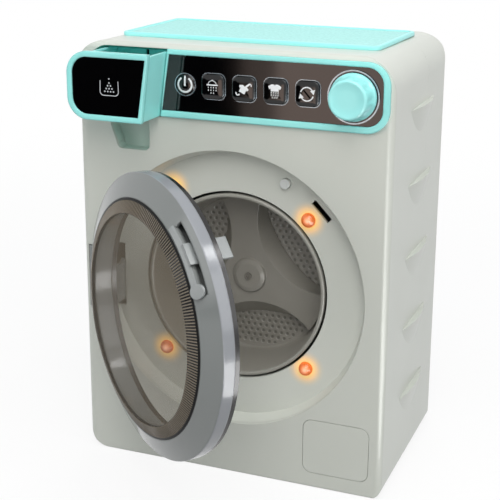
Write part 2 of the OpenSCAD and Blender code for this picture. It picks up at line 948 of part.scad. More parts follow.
module drawer_guide() {
    color(deep_teal)
    difference() {
        intersection() {
            union() {
                slab(guide_back - tray_wall, wall_back) tray_outline(run_gap + tray_wall);
                slab(wall_back - guide_flange_t, wall_back) drawer_outline(fit_gap + guide_flange_t);
            }
            case_form(wall + fit_gap);
        }
        slab(guide_back, front) tray_outline(run_gap);
        // The guide has no ceiling: the cabinet's top lies right over it.
        block([tray_left + tray_r, -wall_back + guide_flange_t, tray_top], [0, 0, case_h]);
    }
}

// ---- Hinge ----

pin_half_l = pocket_h / 2 - 0.6;

module hinge_bracket() {
    plate_front = pocket_back + 2;
    arm_low = arm_mid_z - hinge_arm_h / 2 - run_gap;
    arm_high = arm_mid_z + hinge_arm_h / 2 + run_gap;
    low_z = pocket_mid_z - pocket_h / 2 + fit_gap;
    high_z = pocket_mid_z + pocket_h / 2 - fit_gap;
    color(ring_grey)
    difference() {
        union() {
            block([pocket_left + fit_gap, -plate_front, low_z],
                [hinge_x + knuckle_r, -pocket_back, high_z]);
            for (span = [[low_z, arm_low], [arm_high, high_z]]) {
                block([hinge_x - knuckle_r, -hinge_front, span[0]],
                    [hinge_x + knuckle_r, -pocket_back, span[1]]);
                translate([hinge_x, -hinge_front, span[0]])
                    cylinder(r = knuckle_r, h = span[1] - span[0]);
            }
        }
        translate([hinge_x, -hinge_front, 0])
            cylinder(d = hinge_pin_dia, h = case_h);
    }
}

module hinge_pin() {
    color(steel)
    translate([hinge_x, -hinge_front, pocket_mid_z - pin_half_l])
        cylinder(d = hinge_pin_dia, h = 2 * pin_half_l);
}

// Turns the closed door's pieces about the hinge pin to where the door stands.
module opened() {
    translate([hinge_x, -hinge_front, 0])
        rotate([0, 0, -door_open])
            translate([-hinge_x, hinge_front, 0]) children();
}

// ---- Door ----

crease = front + crease_front;
face_top = crease + face_rise;
rim_back = front - 1;
frame_back = rim_back - 3.3;
ring_inner_r = ring_face_r - 1.8;
frame_r = ring_r - 0.8;
seat_front = face_top - 2.2;

// How far the ring's face lies in front, at a radius.
function face_at(r) = crease + (ring_r - r) * face_rise / (ring_r - ring_face_r);

slot_margin = 5;
slot_band = 5.1;
slot_inner_r = ring_face_r + slot_margin;
slot_outer_r = ring_r - slot_band;
tongue_r = slot_inner_r + tongue_inset;
slot_from = latch_angle - 17.5;
slot_to = latch_angle + 14.5;
wedge_r = 2 * ring_r;

// A wedge-shaped slice round the door's middle, between two angles.
module slice(from_angle, to_angle) {
    slab(0, 2 * front)
        translate([0, door_z])
            polygon([[0, 0], wedge_r * [cos(from_angle), sin(from_angle)],
                wedge_r * [cos(to_angle), sin(to_angle)]]);
}

module door_ring() {
    color(ring_grey)
    opened()
        difference() {
            turned() polygon([
                [ring_r - door_wall, rim_back], [ring_r, rim_back], [ring_r, crease],
                [ring_face_r, face_top], [ring_face_r, seat_front], [ring_inner_r, seat_front],
                [ring_inner_r, rim_back], [ring_inner_r + door_wall, rim_back],
                [ring_inner_r + door_wall, face_at(ring_inner_r + door_wall) - door_wall - 0.3],
                [ring_r - door_wall, face_at(ring_r - door_wall) - door_wall - 0.3]
            ]);
            intersection() {
                turned() translate([slot_inner_r, rim_back + past])
                    square([slot_outer_r - slot_inner_r, 2 * front]);
                slice(slot_from, slot_to);
            }
        }
}

module door_back_frame() {
    color(gloss_black)
    opened()
        difference() {
            turned() translate([ring_inner_r, frame_back])
                square([frame_r - ring_inner_r, rim_back - frame_back]);
            round_door(latch_angle)
                block([tongue_r - latch_slot_t / 2 - 0.6, -front, -tongue_w / 2 - run_gap],
                    [tongue_r + latch_slot_t / 2 - 0.2, -frame_back + past, tongue_w / 2 + run_gap]);
            for (z = door_screw_z)
                rod(door_screw_x, z, screw_dia, frame_back - past, frame_back + 2.6);
        }
}

window_r = ring_face_r - 0.2;
window_t = 2;
crown = 1.5;
crown_steps = 8;
clear_front = face_top + window_rise;

// The window: a ribbed sloping edge and a clear middle with a slight crown.
module door_window() {
    crown_curve = [for (i = [0 : crown_steps])
        let (r = window_clear_r * (1 - i / crown_steps))
        [r, clear_front + crown * (1 - pow(r / window_clear_r, 2))]];
    inner_curve = [for (i = [crown_steps : -1 : 0]) crown_curve[i] - [0, window_t]];
    color(smoke)
    opened()
        turned() polygon(concat([[window_r, face_top - window_t], [window_r, face_top]],
            crown_curve, inner_curve));
}

leaf_t = 2.4;
leaf_right = hinge_x + 21;
door_screw_x = leaf_right - 9;
door_screw_z = [arm_mid_z - 8, arm_mid_z + 8];
tail_from = 14;
tail_to = 77;

// The arm's outline from above, round the hinge pin, with y drawn as minus the front value.
module arm_plan() {
    leaf_front = frame_back - hinge_front;
    leaf_x = leaf_right - hinge_x;
    neck_x = -frame_r - 0.6 - hinge_x;
    polygon([
        [0, -knuckle_r + 0.4], [3.5, -1.8], [7, 0.4], [neck_x, 2.6], [neck_x, -leaf_front],
        [leaf_x, -leaf_front], [leaf_x, -leaf_front + leaf_t], [6, -leaf_front + leaf_t],
        [1.5, knuckle_r], [0, knuckle_r - 0.4]
    ]);
    circle(knuckle_r);
    intersection() {
        difference() {
            circle(tail_r + tail_t / 2);
            circle(tail_r - tail_t / 2);
        }
        polygon([[0, 0], 2 * tail_r * [cos(tail_from), sin(tail_from)],
            2 * tail_r * [cos(tail_to), sin(tail_to)]]);
    }
}

module hinge_arm() {
    color(ring_grey)
    opened()
        difference() {
            translate([hinge_x, -hinge_front, arm_mid_z - hinge_arm_h / 2])
                linear_extrude(hinge_arm_h)
                    difference() {
                        arm_plan();
                        circle(hinge_pin_dia / 2 + bore_gap);
                    }
            for (z = door_screw_z)
                rod(door_screw_x, z, screw_dia + 0.4, 0, front);
        }
}

module door_screws() {
    color(steel)
    opened()
        for (z = door_screw_z) {
            rod(door_screw_x, z, screw_dia - 0.1, frame_back - leaf_t, frame_back + 2.5);
            rod(door_screw_x, z, 4.4, frame_back - leaf_t - 1.3, frame_back - leaf_t);
        }
}

// ---- Latch ----

lip_inner_r = slot_inner_r - 3.3;
lip_outer_r = slot_inner_r + 0.8;
lip_gap = 0.2 + latch_travel * face_rise / (ring_r - ring_face_r);
lip_rise = 1.3;
bridge_r = lip_inner_r + 2;
foot_r = slot_inner_r + latch_travel + 0.2;
foot_wall = 1.3;
foot_front = face_at(slot_outer_r) - 1;
tongue_tip = front - 14;
spoon_r = slot_inner_r + 0.4;
spoon_angle = slot_from + 2;
spoon_dia = 8.6;

// A front value at a radius, that far above the ring's face and the lever's gap.
function over_face(r, rise) = face_at(r) + lip_gap + rise;

// The round end that a finger pulls.
module lever_spoon() {
    half = spoon_dia / 2 + past;
    intersection() {
        turned() polygon([
            [spoon_r - half, over_face(spoon_r - half, 0)],
            [spoon_r + half, over_face(spoon_r + half, 0)],
            [spoon_r + half, over_face(spoon_r + half, lip_rise + 0.2)],
            [spoon_r - half, over_face(spoon_r - half, lip_rise + 0.2)]
        ]);
        rod(spoon_r * cos(spoon_angle), door_z + spoon_r * sin(spoon_angle), spoon_dia, front,
            2 * front);
    }
}

// The lever: a curved lip with a round end, a foot through the slot and a tongue behind.
module latch_lever() {
    half_w = tongue_w / 2;
    color(ring_grey)
    opened() {
        intersection() {
            turned() polygon([
                [lip_inner_r, over_face(lip_inner_r, 0.25)],
                [lip_outer_r, over_face(lip_outer_r, 0.25)],
                [lip_outer_r, over_face(lip_outer_r, 0.6)],
                [lip_outer_r - 0.7, over_face(lip_outer_r - 0.7, lip_rise)],
                [lip_inner_r + 0.9, over_face(lip_inner_r + 0.9, lip_rise)],
                [lip_inner_r, over_face(lip_inner_r, 0.5)]
            ]);
            slice(spoon_angle + 1.5, slot_to + 1);
        }
        lever_spoon();
        round_door(latch_angle) {
            block([bridge_r, -over_face(bridge_r, 0.7), -half_w],
                [foot_r + foot_wall, -over_face(bridge_r, 0), half_w]);
            block([foot_r, -over_face(bridge_r, 0.35), -half_w],
                [foot_r + foot_wall, -rim_back - 2, half_w]);
            block([foot_r, -foot_front, -half_w], [slot_outer_r - 1, -rim_back - 2, half_w]);
            block([tongue_r - tongue_t / 2, -rim_back - 3, -half_w],
                [tongue_r + tongue_t / 2, -tongue_tip, half_w]);
        }
    }
}

// A leaf spring, bowed from the ring's inner wall towards the lever's foot, clear of its travel.
module latch_spring() {
    wall_r = ring_inner_r + door_wall + 0.1;
    bow_r = slot_inner_r - 0.1;
    bow_half = tongue_w / 2 - 1;
    spring_t = 0.4;
    color(steel)
    opened()
        round_door(latch_angle)
            translate([0, -rim_back - 2, 0])
                rotate([90, 0, 0])
                    linear_extrude(3.2)
                        polygon([
                            [wall_r, -bow_half], [wall_r + spring_t, -bow_half], [bow_r, -2],
                            [bow_r, 2], [wall_r + spring_t, bow_half], [wall_r, bow_half],
                            [bow_r - spring_t, 2 - spring_t], [bow_r - spring_t, -2 + spring_t]
                        ]);
}

// ---- Lamps and door switch ----

lamp_flange_t = 1.2;
lamp_front = recess_floor + 4.2;
lamp_back = floor_back - lamp_flange_t;

module lamp_lenses() {
    r = lamp_dia / 2;
    color(orange)
    lamp_places()
        rotate([90, 0, 0])
            rotate_extrude() polygon([
                [0, lamp_back], [r + 0.7, lamp_back], [r + 0.7, floor_back], [r, floor_back],
                [r, recess_floor + 1], [r * 0.87, lamp_front - 1.9], [r * 0.5, lamp_front - 0.6],
                [0, lamp_front]
            ]);
}

module lamp_boards() {
    color(board_green)
    for (angle = lamp_angles)
        round_door(angle)
            block([lamp_ring_r - 4.6, -lamp_back, -7], [lamp_ring_r + 6.4, -lamp_back + board_t, 7]);
}

pin_travel = 3;
pin_front = recess_floor + 3;
pin_flange_front = floor_back - fit_gap;
pin_back = pin_flange_front - 1.8;
housing_floor = pin_back - pin_travel - fit_gap;

module switch_pin() {
    color([0.9, 0.9, 0.9])
    pin_place() {
        rod(0, 0, pin_dia, pin_flange_front - 0.1, pin_front);
        rod(0, 0, pin_dia + 2, pin_back, pin_flange_front);
    }
}

module switch_housing() {
    color(gloss_black)
    pin_place()
        difference() {
            rod(0, 0, pin_dia + 6, housing_floor - 3, floor_back);
            rod(0, 0, pin_dia + 2 + 2 * run_gap, housing_floor, floor_back + past);
        }
}

// ---- Tub and drum ----

drum_floor = front - drum_depth;
drum_wall = 1.6;
drum_back = drum_floor - drum_wall;
tub_r = opening_r - 0.2;
tub_wall = 1.6;
tub_back = drum_back - 1;
tub_plate_t = 2;
tub_plate_back = tub_back - tub_plate_t;
tub_ear_r = tub_r + 6.4;
bush_dia = drum_shaft_dia + 4;
bush_back = tub_plate_back - 4;
tub_boss_dia = bush_dia + 6;

module tub_ear_places() {
    for (angle = [0 : 90 : 270]) round_door(angle) children();
}

module outer_tub() {
    color([0.75, 0.75, 0.74])
    difference() {
        union() {
            turned() translate([0, tub_plate_back]) square([tub_r + tub_wall, floor_back - tub_plate_back]);
            tub_ear_places() {
                rod(tub_ear_r, 0, 8, floor_back - 2.4, floor_back);
                block([tub_r, -floor_back, -4], [tub_ear_r, -floor_back + 2.4, 4]);
            }
            rod(0, door_z, tub_boss_dia, bush_back, tub_plate_back + past);
            for (p = standoff_places)
                rod(p.x, p.y, standoff_dia, bracket_front, tub_plate_back + past);
        }
        turned() translate([0, tub_back]) square([tub_r, front]);
        rod(0, door_z, bush_dia, bush_back - past, front);
        tub_ear_places() rod(tub_ear_r, 0, screw_dia + 0.4, 0, front);
        for (p = standoff_places) rod(p.x, p.y, 2, bracket_front - past, bracket_front + 7);
    }
}

module tub_screws() {
    color(steel)
    tub_ear_places() {
        rod(tub_ear_r, 0, screw_dia - 0.1, floor_back - 2.4, floor_back + 1.3);
        rod(tub_ear_r, 0, 5, floor_back - 2.4 - 1.6, floor_back - 2.4);
    }
}

module bearing_bush() {
    color([0.75, 0.6, 0.3])
    difference() {
        rod(0, door_z, bush_dia, bush_back, tub_back);
        rod(0, door_z, drum_shaft_dia + 2 * bore_gap, bush_back - past, tub_back + past);
    }
}

lip_back = recess_floor - 0.8;

module drum_shell() {
    fillet = 7;
    color(drum_grey)
    turned() polygon([
        [drum_shaft_dia / 2, drum_back], [drum_floor_r, drum_back],
        [drum_floor_r + drum_wall + 0.4, drum_floor + 1.6], [drum_r + drum_wall, lip_back],
        [drum_r, lip_back], [drum_floor_r, drum_floor + 3], [drum_floor_r - 1.5, drum_floor + 1],
        [drum_floor_r - fillet, drum_floor], [drum_shaft_dia / 2, drum_floor]
    ]);
}

module drum_lip() {
    outer_r = opening_r - 1.7;
    inner_r = drum_r + drum_wall + 0.1;
    color([0.62, 0.6, 0.57])
    turned() polygon([
        [drum_r, lip_back], [inner_r, lip_back], [inner_r, lip_back - 2], [outer_r, lip_back - 2],
        [outer_r, lip_back + 1], [outer_r - 0.7, lip_back + 1.6], [drum_r + 0.7, lip_back + 1.6],
        [drum_r, lip_back + 1]
    ]);
}

rotor_r = drum_floor_r - 0.5;
rotor_front = drum_floor + rotor_h;
hub_front = rotor_front + 2.6;
pocket_angles = [37, 157, 277];
pocket_near = hub_r + 6.5;
pocket_slope = 9.4;
pocket_centre = drum_floor_r + 10;
pocket_floor_centre = drum_floor_r + 52.5;
shaft_front = rotor_front - 3;

// One of the rotor's hollows: its sides slope from a small arc to a wide one at the floor.
module rotor_pocket(angle) {
    round_door(angle)
        hull() {
            translate([pocket_centre, -rotor_front, 0]) rotate([90, 0, 0])
                cylinder(r = pocket_centre - pocket_near, h = 0.1, $fn = 64);
            translate([pocket_floor_centre, -drum_floor + 0.1, 0]) rotate([90, 0, 0])
                cylinder(r = pocket_floor_centre - pocket_near - pocket_slope, h = 0.1, $fn = 64);
        }
}

module drum_rotor() {
    color(drum_grey)
    difference() {
        turned() polygon([
            [0, drum_floor], [drum_floor_r - 8, drum_floor], [rotor_r - 1, drum_floor + 3.4],
            [rotor_r, rotor_front], [hub_r, rotor_front], [hub_r - 0.8, hub_front - 1],
            [hub_r - 3.5, hub_front], [0, hub_front]
        ]);
        for (angle = pocket_angles) rotor_pocket(angle);
        rod(0, door_z, drum_shaft_dia, drum_floor - past, shaft_front);
        rod(0, door_z, screw_dia + 0.2, shaft_front - past, hub_front + past);
    }
}

module hub_screw() {
    color(steel)
    difference() {
        union() {
            rod(0, door_z, 5, hub_front, hub_front + 1.2);
            rod(0, door_z, screw_dia, shaft_front - 8, hub_front);
        }
        translate([0, -hub_front - 1.2, door_z]) {
            cube([3, 1.2, 0.7], center = true);
            cube([0.7, 1.2, 3], center = true);
        }
    }
}

gear_back = bush_back - 6;
gear_t = 5;
shaft_back = gear_back - 1.5;

module drum_shaft() {
    color(steel)
    difference() {
        rod(0, door_z, drum_shaft_dia, shaft_back, shaft_front);
        rod(0, door_z, screw_dia + 0.1, shaft_front - 9, shaft_front + past);
    }
}

// ---- Gears ----

pressure = 20;
tooth_gap = 0.16;
flank_steps = 3;

// A point of the involute of a base circle, where the string leaves at angle t.
function involute(base_r, t) = base_r * [cos(t) + t * PI / 180 * sin(t), sin(t) - t * PI / 180 * cos(t)];
function turn(p, a) = [p.x * cos(a) - p.y * sin(a), p.x * sin(a) + p.y * cos(a)];
// The string's angle at which the involute reaches radius r.
function unwind(base_r, r) = sqrt(pow(r / base_r, 2) - 1) * 180 / PI;

// One gear's outline, from its number of teeth and how far the teeth reach past the pitch circle.
module gear_outline(teeth, reach) {
    pitch_r = gear_module * teeth / 2;
    base_r = pitch_r * cos(pressure);
    root_r = pitch_r - 1.25 * gear_module;
    low_r = max(base_r, root_r + 0.05);
    t0 = unwind(base_r, low_r);
    t1 = unwind(base_r, pitch_r + reach);
    lead = (tan(pressure) - pressure * PI / 180) * 180 / PI;
    half = 90 / teeth + lead - tooth_gap / 2 / pitch_r * 180 / PI;
    flank = [for (i = [0 : flank_steps])
        involute(base_r, t0 + (t1 - t0) * i / flank_steps)];
    polygon([for (k = [0 : teeth - 1])
        let (a = 360 * k / teeth)
        each concat(
            [turn([root_r, 0], a - half)],
            [for (p = flank) turn(p, a - half)],
            [for (i = [flank_steps : -1 : 0]) turn([flank[i].x, -flank[i].y], a + half)],
            [turn([root_r, 0], a + half)]
        )]);
}

gear_reach = 0.7 * gear_module;
pinion_reach = gear_module;
gear_distance = gear_module * (gear_teeth + pinion_teeth) / 2;
motor_z = door_z - gear_distance;
motor_shaft_dia = 2.3;

module drum_gear() {
    color([0.9, 0.88, 0.8])
    translate([0, -gear_back, door_z])
        rotate([90, 0, 0])
            linear_extrude(gear_t)
                difference() {
                    gear_outline(gear_teeth, gear_reach);
                    circle(drum_shaft_dia / 2);
                }
}

// A tooth of the gear points straight down, so the pinion has a gap straight up.
module motor_pinion() {
    color([0.9, 0.88, 0.8])
    translate([0, -gear_back + 0.5, motor_z])
        rotate([90, 0, 0])
            linear_extrude(gear_t + 1)
                difference() {
                    rotate(90 + 180 / pinion_teeth) gear_outline(pinion_teeth, pinion_reach);
                    circle(motor_shaft_dia / 2);
                }
}

bracket_front = gear_back - 2.2;
bracket_t = 2;
bracket_back = bracket_front - bracket_t;
bracket_half_w = 30;
bracket_high = 14;
bracket_low = 32;
standoff_dia = 7;
standoff_places = [[-25, motor_z - 10], [25, motor_z - 10], [0, motor_z - 26]];

module motor_bracket() {
    color(steel)
    difference() {
        slab(bracket_back, bracket_front)
            rounded(-bracket_half_w, bracket_half_w, motor_z - bracket_low, motor_z + bracket_high,
                [6, 6, 6, 6]);
        rod(0, motor_z, 6.2, bracket_back - past, bracket_front + past);
        for (p = standoff_places)
            rod(p.x, p.y, screw_dia + 0.4, bracket_back - past, bracket_front + past);
    }
}

module bracket_screws() {
    color(steel)
    for (p = standoff_places) {
        rod(p.x, p.y, 1.9, bracket_back, bracket_front + 6);
        rod(p.x, p.y, 4.6, bracket_back - 1.6, bracket_back);
    }
}

module motor() {
    color(steel)
    difference() {
        union() {
            rod(0, motor_z, motor_dia, bracket_back - motor_l, bracket_back);
            rod(0, motor_z, 6, bracket_back - past, bracket_front);
        }
        rod(0, motor_z, motor_shaft_dia + 2 * bore_gap, bracket_back - 10, bracket_front + past);
    }
}

module motor_shaft() {
    color(steel) rod(0, motor_z, motor_shaft_dia, bracket_back - 9.7, gear_back + gear_t + 1);
}

// ---- Speaker and batteries ----

module speaker() {
    color([0.15, 0.15, 0.16])
    translate([speaker_x, wall_back, speaker_z])
        rotate([90, 0, 0])
            rotate_extrude() polygon([
                [0, 2.4], [speaker_dia / 2 - 3, 1], [speaker_dia / 2 - 3, 0], [speaker_dia / 2, 0],
                [speaker_dia / 2, 2], [10, 7], [10, 12], [0, 12]
            ]);
}

box_back = wall_back - box_d - box_wall;

module battery_box() {
    color(shell_white)
    difference() {
        block([-box_half_w - box_wall, box_back, box_low - box_wall],
            [box_half_w + box_wall, wall_back, box_high + box_wall]);
        block([-box_half_w, box_back + box_wall, box_low], [box_half_w, front, box_high]);
    }
}

function battery_z(i) = box_low + 1.5 + battery_pitch * (i + 0.5);
battery_y = wall_back - box_d / 2;

module batteries() {
    color([0.2, 0.2, 0.22])
    for (i = [0 : battery_count - 1])
        translate([-battery_l / 2, battery_y, battery_z(i)])
            rotate([0, 90, 0]) cylinder(d = battery_dia, h = battery_l);
}

module battery_contacts() {
    plate_t = 0.6;
    color(steel)
    for (i = [0 : battery_count - 1], side = [-1, 1])
        translate([side * box_half_w, battery_y, battery_z(i)])
            rotate([0, -90 * side, 0]) {
                translate([-4.5, -4.5, 0]) cube([9, 9, plate_t]);
                cylinder(d = 5, h = 2 - 0.2);
            }
}

module battery_cover() {
    color(shell_white)
    difference() {
        slab(-front, -front + battery_cover_t) battery_cover_outline(0);
        rod(0, cover_screw_z, screw_dia + 0.6, -front - past, -front + 4);
        rod(0, cover_screw_z, screw_head_dia + 0.6, -front - past, -front + 0.8);
        for (i = [-1 : 1])
            block([-10, front - 0.6, box_low + 8 + 4 * i], [10, front + past, box_low + 9.6 + 4 * i]);
    }
}

module battery_cover_screw() {
    color(steel)
    difference() {
        union() {
            rod(0, cover_screw_z, screw_head_dia, -front - 1, -front + 0.8);
            rod(0, cover_screw_z, screw_dia, -front, -front + 8);
        }
        translate([0, front + 1, cover_screw_z]) {
            cube([3.2, 1.4, 0.8], center = true);
            cube([0.8, 1.4, 3.2], center = true);
        }
    }
}

front_shell();
recess_dish();
scoop_cup();
rear_shell();
top_cover();
filter_cover();
case_screws();
control_bezel();
fascia();
button_trims();
knob_trim();
main_board();
board_screws();
button_switches();
rotary_switch();
power_button();
button_1();
button_2();
button_3();
button_4();
knob();
knob_shaft();
drawer_guide();
drawer_front();
drawer_plate();
drawer_tray();
hinge_bracket();
hinge_pin();
lamp_lenses();
lamp_boards();
switch_pin();
switch_housing();
door_ring();
door_back_frame();
door_window();
hinge_arm();
door_screws();
latch_lever();
latch_spring();
outer_tub();
tub_screws();
bearing_bush();
drum_shell();
drum_lip();
drum_rotor();
hub_screw();
drum_shaft();
drum_gear();
motor();
motor_bracket();
motor_shaft();
motor_pinion();
bracket_screws();
speaker();
battery_box();
batteries();
battery_contacts();
battery_cover();
battery_cover_screw();
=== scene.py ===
# %% [markdown]
# # Toy washing machine: the looks
# The solids come from the part's own source. They are loaded as a fixed frame, and this
# lesson dresses them: each node gets a procedural material, and the pieces whose fine
# shape shows, such as the knob, the button caps and the printed pictures, are modelled
# here with bmesh operators. All lengths are in metres; MM turns millimetres into them.

# %% Load the frame
import json
import math
import bpy
import bmesh
from mathutils import Matrix, Vector
from mathutils.bvhtree import BVHTree


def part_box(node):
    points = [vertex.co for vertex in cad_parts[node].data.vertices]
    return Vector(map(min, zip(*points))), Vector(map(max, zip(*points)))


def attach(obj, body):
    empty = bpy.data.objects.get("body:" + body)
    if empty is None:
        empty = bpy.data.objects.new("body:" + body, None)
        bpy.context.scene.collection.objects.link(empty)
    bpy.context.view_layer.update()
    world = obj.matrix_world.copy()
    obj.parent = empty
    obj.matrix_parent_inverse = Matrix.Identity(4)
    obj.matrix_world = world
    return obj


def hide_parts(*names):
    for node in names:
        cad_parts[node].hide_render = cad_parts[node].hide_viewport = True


MM = 0.001
AXIS_Z = 128.3       # height of the middle of the drum and of the closed door, in mm
BUTTON_ROW = 261     # height of the middle of the buttons and of the knob, in mm
bpy.context.scene.view_settings.view_transform = "Standard"
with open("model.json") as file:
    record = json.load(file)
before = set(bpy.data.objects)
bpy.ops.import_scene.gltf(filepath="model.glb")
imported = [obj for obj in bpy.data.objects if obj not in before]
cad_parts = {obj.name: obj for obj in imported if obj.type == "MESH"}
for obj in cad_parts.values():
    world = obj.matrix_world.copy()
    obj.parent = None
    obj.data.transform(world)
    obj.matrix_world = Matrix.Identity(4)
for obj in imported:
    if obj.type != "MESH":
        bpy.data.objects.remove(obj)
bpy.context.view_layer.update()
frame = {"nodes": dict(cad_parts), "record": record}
nodes = frame["nodes"]

# %% [markdown]
# ## Camera
# The toy is seen from its front right, a little above. A camera needs a place, a
# direction and a roll. A rotation matrix made of three perpendicular vectors gives the
# last two exactly, where a Track To constraint could not hold the small roll.

# %% Camera
def add_camera(place, forward, roll, view_angle):
    forward = Vector(forward).normalized()
    right = forward.cross(Vector((0, 0, 1))).normalized()
    up = right.cross(forward)
    turned_right = right * math.cos(roll) + up * math.sin(roll)
    turned_up = up * math.cos(roll) - right * math.sin(roll)
    data = bpy.data.cameras.new("camera")
    data.sensor_fit = "HORIZONTAL"
    data.angle = view_angle
    data.clip_start = 0.01
    camera = bpy.data.objects.new("camera", data)
    bpy.context.collection.objects.link(camera)
    turn = Matrix((turned_right, turned_up, -forward)).transposed().to_4x4()
    camera.matrix_world = Matrix.Translation(place) @ turn
    bpy.context.scene.camera = camera
    return camera

EYE, SIGHT = (0.30970, -0.77951, 0.39270), (-0.36644, 0.88338, -0.29217)
ROLL, VIEW_ANGLE = math.radians(0.28), math.radians(22.382)
camera = add_camera(EYE, SIGHT, ROLL, VIEW_ANGLE)
print("camera", tuple(round(v, 3) for v in camera.location))

# %% [markdown]
# ## Floor
# The toy stands on white. The floor is matt and keeps a soft shadow; what the
# camera and the reflections see of it is mixed with an even white. The white's share grows
# with the distance, from the toy's own shadow to a background with no horizon line. The
# light that the floor throws back on the toy is that of a light grey card.

# %% White for the eye
BOUNCED_GREY, SEEN_GREY = (0.4, 0.4, 0.4, 1), (0.9, 0.9, 0.9, 1)

def white_to_the_eye(tree, lit_shader, share):
    """Mixes lit_shader with white for camera, mirror and see-through rays."""
    path = tree.nodes.new("ShaderNodeLightPath")
    seen = path.outputs["Is Camera Ray"]
    for ray in ("Is Glossy Ray", "Is Transmission Ray"):
        either = tree.nodes.new("ShaderNodeMath")
        either.operation = "MAXIMUM"
        tree.links.new(seen, either.inputs[0])
        tree.links.new(path.outputs[ray], either.inputs[1])
        seen = either.outputs[0]
    part = tree.nodes.new("ShaderNodeMath")
    part.operation = "MULTIPLY"
    tree.links.new(seen, part.inputs[0])
    if isinstance(share, bpy.types.NodeSocket):
        tree.links.new(share, part.inputs[1])
    else:
        part.inputs[1].default_value = share
    if lit_shader.bl_idname == "ShaderNodeBsdfPrincipled":
        tone = tree.nodes.new("ShaderNodeMix")
        tone.data_type = "RGBA"
        tone.inputs[6].default_value = BOUNCED_GREY
        tone.inputs[7].default_value = SEEN_GREY
        tree.links.new(seen, tone.inputs["Factor"])
        tree.links.new(tone.outputs[2], lit_shader.inputs["Base Color"])
    white = tree.nodes.new("ShaderNodeEmission")
    mix = tree.nodes.new("ShaderNodeMixShader")
    tree.links.new(part.outputs[0], mix.inputs["Fac"])
    tree.links.new(lit_shader.outputs[0], mix.inputs[1])
    tree.links.new(white.outputs[0], mix.inputs[2])
    return mix

print("white helper ready")

# %% Floor sheet
FLOOR_HALF = 6.0
floor_bm = bmesh.new()
bmesh.ops.create_grid(floor_bm, x_segments=1, y_segments=1, size=FLOOR_HALF)
floor_mesh = bpy.data.meshes.new("floor")
floor_bm.to_mesh(floor_mesh)
floor_bm.free()
floor = bpy.data.objects.new("floor", floor_mesh)
bpy.context.collection.objects.link(floor)
print("floor", tuple(floor.dimensions))

# %% [markdown]
# The share of white follows the distance from the toy's middle: a Vector Math node
# measures it, and a Map Range node turns it into a share, smooth at both ends.

# %% Floor paint
SHADOW_REACH = (0.25, 1.2)     # the shadow is whole inside the first distance, gone past the second
WHITE_SHARE = (0.84, 1.0)      # white mixed in at those two distances
floor_paint = bpy.data.materials.new("floor_paint")
floor_paint.use_nodes = True
tree = floor_paint.node_tree
paper = tree.nodes["Principled BSDF"]
paper.inputs["Roughness"].default_value = 0.9
place = tree.nodes.new("ShaderNodeTexCoord")
far = tree.nodes.new("ShaderNodeVectorMath")
far.operation = "LENGTH"
tree.links.new(place.outputs["Object"], far.inputs[0])
share = tree.nodes.new("ShaderNodeMapRange")
share.interpolation_type = "SMOOTHSTEP"
for socket, number in zip(("From Min", "From Max", "To Min", "To Max"), SHADOW_REACH + WHITE_SHARE):
    share.inputs[socket].default_value = number
tree.links.new(far.outputs["Value"], share.inputs["Value"])
mix = white_to_the_eye(tree, paper, share.outputs["Result"])
tree.links.new(mix.outputs[0], tree.nodes["Material Output"].inputs["Surface"])
floor_mesh.materials.append(floor_paint)
print("floor paint", len(tree.nodes), "nodes")

# %% [markdown]
# ## Lamps and sky
# The light is soft and comes from several sides: a key lamp before the toy, a broad lamp
# overhead that brightens ledges and lids, a fill at each side, and a narrow softbox at the
# left whose reflection draws the bright line along the door ring. A low panel before the
# toy and a strip at the right are seen by reflections only: they line the cabinet's front
# edge and the ring's outer wall. A lamp behind lights the back. A sky fills the rest.

# %% Sky
world = bpy.data.worlds.new("studio")
bpy.context.scene.world = world
world.use_nodes = True
tree = world.node_tree
sky = tree.nodes["Background"]
SKY_BLUE, SKY_STRENGTH = (0.93, 0.97, 1.0, 1), 0.36
sky.inputs["Color"].default_value = SKY_BLUE
sky.inputs["Strength"].default_value = SKY_STRENGTH
mix = white_to_the_eye(tree, sky, 1.0)
tree.links.new(mix.outputs[0], tree.nodes["World Output"].inputs["Surface"])
print("sky strength", SKY_STRENGTH)

# %% Lamps
def add_lamp(name, place, aim, width, height, watts, colour=(1, 1, 1)):
    data = bpy.data.lights.new(name, "AREA")
    data.shape = "RECTANGLE"
    data.size, data.size_y, data.energy, data.color = width, height, watts, colour
    lamp = bpy.data.objects.new(name, data)
    bpy.context.collection.objects.link(lamp)
    lamp.location = place
    lamp.rotation_euler = (Vector(aim) - Vector(place)).to_track_quat("-Z", "Y").to_euler()
    return lamp

# name, place, aim, width, height, watts
TOY_MIDDLE = (0, 0, 0.15)
add_lamp("key_lamp", (0.45, -1.05, 1.05), TOY_MIDDLE, 0.7, 0.9, 8.2, (1, 0.98, 0.95))
add_lamp("overhead_lamp", (0.2, -0.35, 1.3), TOY_MIDDLE, 0.9, 0.7, 6.2)
add_lamp("left_fill", (-0.95, -0.75, 0.55), TOY_MIDDLE, 0.5, 0.9, 2.0)
add_lamp("right_fill", (1.2, -0.3, 0.6), TOY_MIDDLE, 0.7, 0.9, 3.4)
add_lamp("ring_softbox", (-0.92, -1.07, 0.72), TOY_MIDDLE, 0.22, 0.9, 0.9)
back_fill = add_lamp("back_fill", (-0.3, 1.3, 0.7), TOY_MIDDLE, 0.8, 0.8, 5.5)
back_fill.visible_camera = back_fill.visible_glossy = False

# These two are seen by reflections only.
ridge_light = add_lamp("ridge_light", (0.28, -0.75, 0.002), (0.28, -0.75, 1.0), 0.26, 1.3, 8.0)
rim_light = add_lamp("rim_light", (0.85, 0.0, 0.95), (-0.05, -0.1, 0.17), 0.12, 0.6, 2.6)
for lamp in (ridge_light, rim_light):
    lamp.visible_camera = lamp.visible_diffuse = lamp.visible_transmission = False

